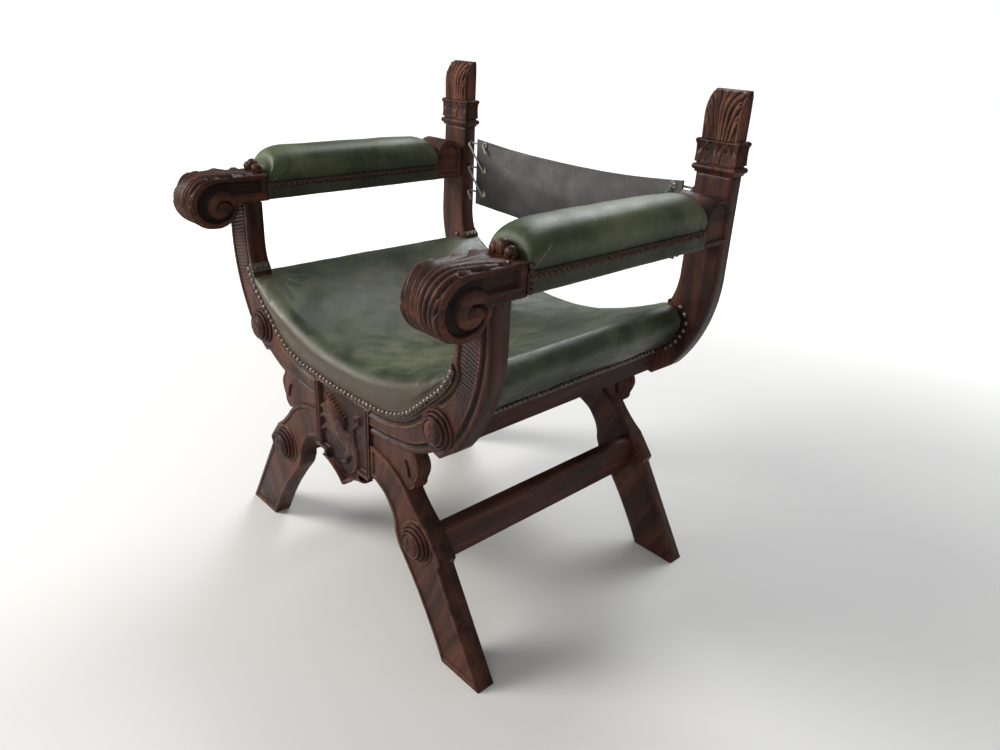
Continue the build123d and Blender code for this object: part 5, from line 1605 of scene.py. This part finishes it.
def buildCaps():
    c = cap
    (hx, hy), (cx, cy) = c["half"], c["centre"]
    long, short = c["longCols"], c["shortCols"]
    t1, t2 = np.linspace(-1, 1, long, endpoint=False), np.linspace(-1, 1, short, endpoint=False)
    sx = np.concatenate([t1, np.ones(short), -t1, -np.ones(short)])
    sy = np.concatenate([-np.ones(long), t2, np.ones(long), -t2])
    isLong = np.repeat([True, False, True, False], [long, short, long, short])
    levels = c["base"] + [(755 - 5.2 * cos(a), 1.8 + 4.6 * sin(a)) for a in np.linspace(0.25, pi - 0.25, 14)]
    levels += c["neck"] + [(z, 4.0 - 0.5 * sin((z - 763) / 31 * pi)) for z in np.linspace(763.2, 794.0, 46)]
    z, out = np.array(levels + c["brow"]).T[:, :, None]
    # the way along each side from its middle, and half that side
    half = np.where(isLong, hx, hy) + c["stand"]
    along = np.where(isLong, sx, sy) * half
    archX = np.abs(np.where(isLong, np.abs(along) - hx / 2 - 1.0, along))
    up = (z - c["foot"]) / c["arch"]
    width = c["archHalf"] * np.sqrt(unit(1 - unit(up) ** 1.7))
    inDrum = (z > c["drum"][0]) & (z < c["drum"][1])
    inside = stepTo(width - archX, 0, 1.2) * inDrum * (up > 0)
    hole = bell(np.hypot(archX / 1.2, (z - c["foot"] - 19.5) / 2.6), 0, 1) * inDrum
    moulding = bell(archX - width, 0.6, 1.1) * inDrum * (up > 0) * (up < 1.05)
    between = unit((archX - width - 1.8) / 2) * unit((up - 0.42) * 3) * inDrum
    # leaf tips stand on the corners and, on the long sides, in the middle
    tip = half - np.abs(along)
    tip = np.where(isLong, np.minimum(np.abs(along), tip), tip)
    bead = bell(tip, 0, 3.4) * bell(z, 795.5, 3.6)
    leaf = bell(tip, 0, np.clip((z - c["leafFoot"]) * 0.22, 0.4, 6)) * unit((z - c["leafFoot"]) / 8) * inDrum
    split = bell(along, 0, 0.5) * isLong * ((z > c["splitZ"][0]) & (z < c["splitZ"][1]))
    rise = 1.1 * (bell(tip, 0, 5.0) - 0.6) * unit((z - 786) / 10) * (out > 0)
    stand = out + c["mouldingRise"] * moulding + c["beadRise"] * bead + c["leafRise"] * leaf * between
    stand = stand - c["archDepth"] * inside - c["betweenDepth"] * between - c["holeDepth"] * hole - 1.3 * split
    mark = 0.5 + 0.18 * moulding + 0.3 * bead + 0.15 * leaf
    mark = unit(mark - 0.12 * inside - 0.28 * between - 0.5 * hole - 0.4 * split)
    grid = gridOf(cx + (hx + stand) * sx, cy + (hy + stand) * sy, z + rise)
    faces = gridFaces(*grid.shape[:2], wrapCol=True) + list(endFaces(*grid.shape[:2]))
    makePair("postCap", "post_cap_", grid, faces, "oakCarvedUp", {"relief": mark}, merge=0.005)


finial = {
    "centre": 324.0, "half": 32.0, "front": 508.0, "back": 538.0, "low": 800.0, "rows": 110, "cols": 76,
    "wallCols": 8, "leafRise": 2.6, "leafScoop": 2.7, "curl": [(834.0, 0.4), (861.5, -8.0), (875.0, -23.0)],
}


def buildFinials():
    f = finial
    curl = [(f["front"] - back, z) for z, back in f["curl"]]
    path = resample(run([(f["front"], f["low"]), curl[0]], curl), f["rows"])
    out = normals2d(path)
    if out[0, 0] > 0:
        out = -out
    (y, z), (outY, outZ) = path.T[:, :, None], out.T[:, :, None]
    v = np.linspace(-1, 1, f["cols"])
    belly = 0.985 + 0.015 * np.sin(np.linspace(0, pi, f["rows"]))[:, None]
    half = f["half"] * belly - 1.5 * unit((z - 866) / 9) ** 1.5
    p = (alongOf(path) / alongOf(path)[-1])[:, None] + 0 * v
    lift, mark = acanthus(p * 0.90 + 0.02, v + 0 * p, f["leafRise"], f["leafScoop"])
    calm = unit((1 - p) * 9)
    lift = lift * calm
    mark = 0.5 + (mark - 0.5) * np.clip(calm, 0.4, 1)
    front = gridOf(half * v, y + outY * lift, z + outZ * lift * (p < 0.97))
    depth = np.linspace(0, 1, f["wallCols"] + 1)[1:]
    walls = []
    for side, edge in ((1, front[:, -1:]), (-1, front[:, :1])):
        edgeY, edgeZ = edge[..., 1], edge[..., 2]
        x = side * (half - 0.6 * unit(np.sin(depth * pi)))
        walls.append(gridOf(x, edgeY + (f["back"] - edgeY) * depth, edgeZ))
    grid = np.concatenate([walls[1][:, ::-1], front, walls[0]], axis=1) + (f["centre"], 0, 0)
    plain = np.full((f["rows"], f["wallCols"]), 0.40)
    marks = {"relief": np.concatenate([plain, mark, plain], axis=1)}
    faces = gridFaces(*grid.shape[:2], wrapCol=True) + list(endFaces(*grid.shape[:2]))
    makePair("postFinial", "post_finial_", grid, faces, "oakTip", marks)


buildCaps()
buildFinials()
print("caps and finials built")

# arched blocks between the arms and the rear posts
bracket = {
    "front": 440.4, "rear": 504.7, "low": 643.0, "spring": 688.5, "outer": 369.0, "inner": 294.0,
    "middleZ": 674.0, "sink": 2.8, "rim": 8.6, "faceCols": 46, "wallCols": 8,
    # place and half width of what runs round the sunk panel, counted from the rim
    "line": (2.6, 0.8), "bead": (6.2, 1.2), "cut": (9.8, 1.0), "arch": (13.1, 1.0),
}


def buildBrackets():
    b = bracket
    y0, y1, low, spring = b["front"], b["rear"], b["low"], b["spring"]
    mid = (y0 + y1) / 2
    arc = arcThrough((y0, spring), (mid, spring + (y1 - y0) / 2), (y1, spring), 1.2)
    foot, rise = resample([(y1, low), (y0, low)], 40), resample([(y0, low), (y0, spring)], 30)
    drop = resample([(y1, spring), (y1, low)], 30)
    loop = np.vstack([foot[:-1], rise[:-1], arc[:-1], drop[:-1]])
    face = towards(loop, np.array([mid, b["middleZ"]]), np.linspace(0, 1, b["faceCols"]))
    rim = outlineDistance(face, loop)
    line, bead, cut, arch = (bell(rim, *b[key]) for key in ("line", "bead", "cut", "arch"))
    height = 0.9 * bead + 0.8 * arch - 0.6 * line - 1.4 * unit(1 - rim / 1.5) ** 2
    height = height - b["sink"] * stepTo(rim, b["rim"], 1.2)
    relief = unit(0.5 + 0.3 * bead + 0.2 * arch - 0.35 * line - 0.4 * cut)
    wall = gridOf(np.linspace(b["outer"], b["inner"], b["wallCols"] + 2)[1:-1], loop[:, :1], loop[:, 1:])
    outside = gridOf(b["outer"] + height, face[..., 0], face[..., 1])
    inside = gridOf(b["inner"] - height, face[..., 0], face[..., 1])
    grid = np.concatenate([outside[:, ::-1], wall, inside], axis=1)
    marks = {"relief": np.concatenate([relief[:, ::-1], np.full(wall.shape[:2], 0.5), relief], axis=1)}
    faces = gridFaces(*grid.shape[:2], wrapRow=True)
    makePair("armBracket", "arm_bracket_", grid, faces, "oakDeepCarved", marks)


buildBrackets()
print("arm brackets built")

# finishes for the nodes that stay as they are
cadFinishes = {
    "oakUp": ("front_centre_block", "rear_centre_block", "cartouche", "upper_roundel", "lower_roundel", "front_ear",
              "rear_ear", "arm_bud", "post_cap", "post_finial", "frame_dowels"),
    "oakDeep": ("stretcher", "side_rail", "arm_rail", "arm_scroll", "arm_bracket"),
    "seat": ("seat_leather",), "hessian": ("seat_stuffing",), "web": ("seat_webbing",), "pad": ("arm_pad",),
    "brass": ("seat_nails", "arm_nails"), "sling": ("back_sling",), "eyelet": ("sling_eyelets",),
    "iron": ("sling_staples",), "cord": ("lacing",),
}
for nodeName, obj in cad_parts.items():
    plainName = nodeName.replace("_left", "").replace("_right", "")
    for key, names in cadFinishes.items():
        if plainName in names:
            obj.data.materials.clear()
            obj.data.materials.append(finishes[key])

# floor, light and camera
studio = {
    "floor": (0.64, 0.63, 0.61), "floorHalf": 14.0, "floorZ": -0.0005, "fade": (0.9, 3.4), "farGlow": 0.9,
    "worldTint": (0.94, 0.97, 1.0), "worldLevel": 0.42, "worldLow": 0.30, "white": (1, 1, 1),
}


def buildFloor():
    s, z = studio["floorHalf"], studio["floorZ"]
    mesh = bpy.data.meshes.new("studioFloor")
    mesh.from_pydata([(-s, -s, z), (s, -s, z), (s, s, z), (-s, s, z)], [], [(0, 1, 2, 3)])
    finish, kit, shader = newFinish("studioFloor", 0.75, 0.25)
    # far from the chair the floor runs out into the pale surround
    away = kit.add("ShaderNodeVectorMath", {0: kit.coords()}, operation="LENGTH")
    far = kit.spread(away.outputs["Value"], *studio["fade"], 0.0, studio["farGlow"])
    seen = kit.add("ShaderNodeLightPath").outputs["Is Camera Ray"]
    kit.feed(shader, {"Base Color": studio["floor"], "Emission Color": studio["white"],
                      "Emission Strength": kit.times(far, seen)})
    mesh.materials.append(finish)
    floor = addObject("studioFloor", mesh)


def buildWorld():
    # a room: bright above, dimmer towards the floor, and plain white to the camera
    world = bpy.data.worlds.new("studio")
    world.use_nodes = True
    kit = NodeKit(world.node_tree)
    way = kit.add("ShaderNodeSeparateXYZ", {0: kit.coords("Generated")})
    level = kit.spread(way.outputs["Z"], -0.15, 0.85, studio["worldLow"], 1.0)
    sky = kit.nodes["Background"]
    kit.feed(sky, {"Color": studio["worldTint"], "Strength": kit.times(level, studio["worldLevel"])})
    plain = kit.add("ShaderNodeBackground", {"Color": studio["white"], "Strength": 1.0})
    path = kit.add("ShaderNodeLightPath").outputs
    either = kit.math("MAXIMUM", path["Is Camera Ray"], path["Is Transmission Ray"])
    mix = kit.add("ShaderNodeMixShader", {"Fac": either, 1: sky.outputs["Background"], 2: plain.outputs["Background"]})
    kit.feed(kit.nodes["World Output"], {"Surface": mix.outputs["Shader"]})
    bpy.context.scene.world = world


# position in metres, size, watts and tint
lamps = {
    "windowLeft": ((-2.2, -2.5, 2.1), 1.5, 170, (1.0, 0.98, 0.95)),
    "roomFill": ((2.4, -2.2, 2.2), 2.2, 22, (1.0, 0.97, 0.94)),
    "highBack": ((-1.0, 2.2, 2.8), 1.5, 82, (0.95, 0.98, 1.0)),
}
lampAim = (0, 0, 0.45)


def buildLamps():
    for name, (where, size, watts, tint) in lamps.items():
        lamp = bpy.data.lights.new(name, "AREA")
        lamp.size, lamp.energy, lamp.color = size, watts, tint
        obj = addObject(name, lamp)
        obj.location = where
        obj.rotation_euler = (Vector(lampAim) - Vector(where)).to_track_quat("-Z", "Y").to_euler()


# position in millimetres, angles in degrees
cameraPlace = {
    "position": (1027.2, -629.0, 959.1), "sensor": 36.0, "lens": 28.37, "pitch": 24.3, "yaw": 45.9, "roll": 2.8,
}


def buildCamera():
    c = cameraPlace
    lens = bpy.data.cameras.new("camera")
    lens.sensor_width, lens.lens = c["sensor"], c["lens"]
    yaw, pitch, roll = (radians(c[key]) for key in ("yaw", "pitch", "roll"))
    forward = Vector((-sin(yaw) * cos(pitch), cos(yaw) * cos(pitch), -sin(pitch)))
    right = Vector((cos(yaw), sin(yaw), 0))
    up = right.cross(forward)
    turn = Matrix((right * cos(roll) + up * sin(roll), up * cos(roll) - right * sin(roll), -forward)).transposed()
    obj = addObject("camera", lens)
    obj.matrix_world = Matrix.Translation(place(c["position"])[0].tolist()) @ turn.to_4x4()
    bpy.context.scene.camera = obj


buildFloor()
buildWorld()
buildLamps()
buildCamera()
bpy.context.scene.view_settings.view_transform = "Standard"
print("stage, lamps and camera placed")
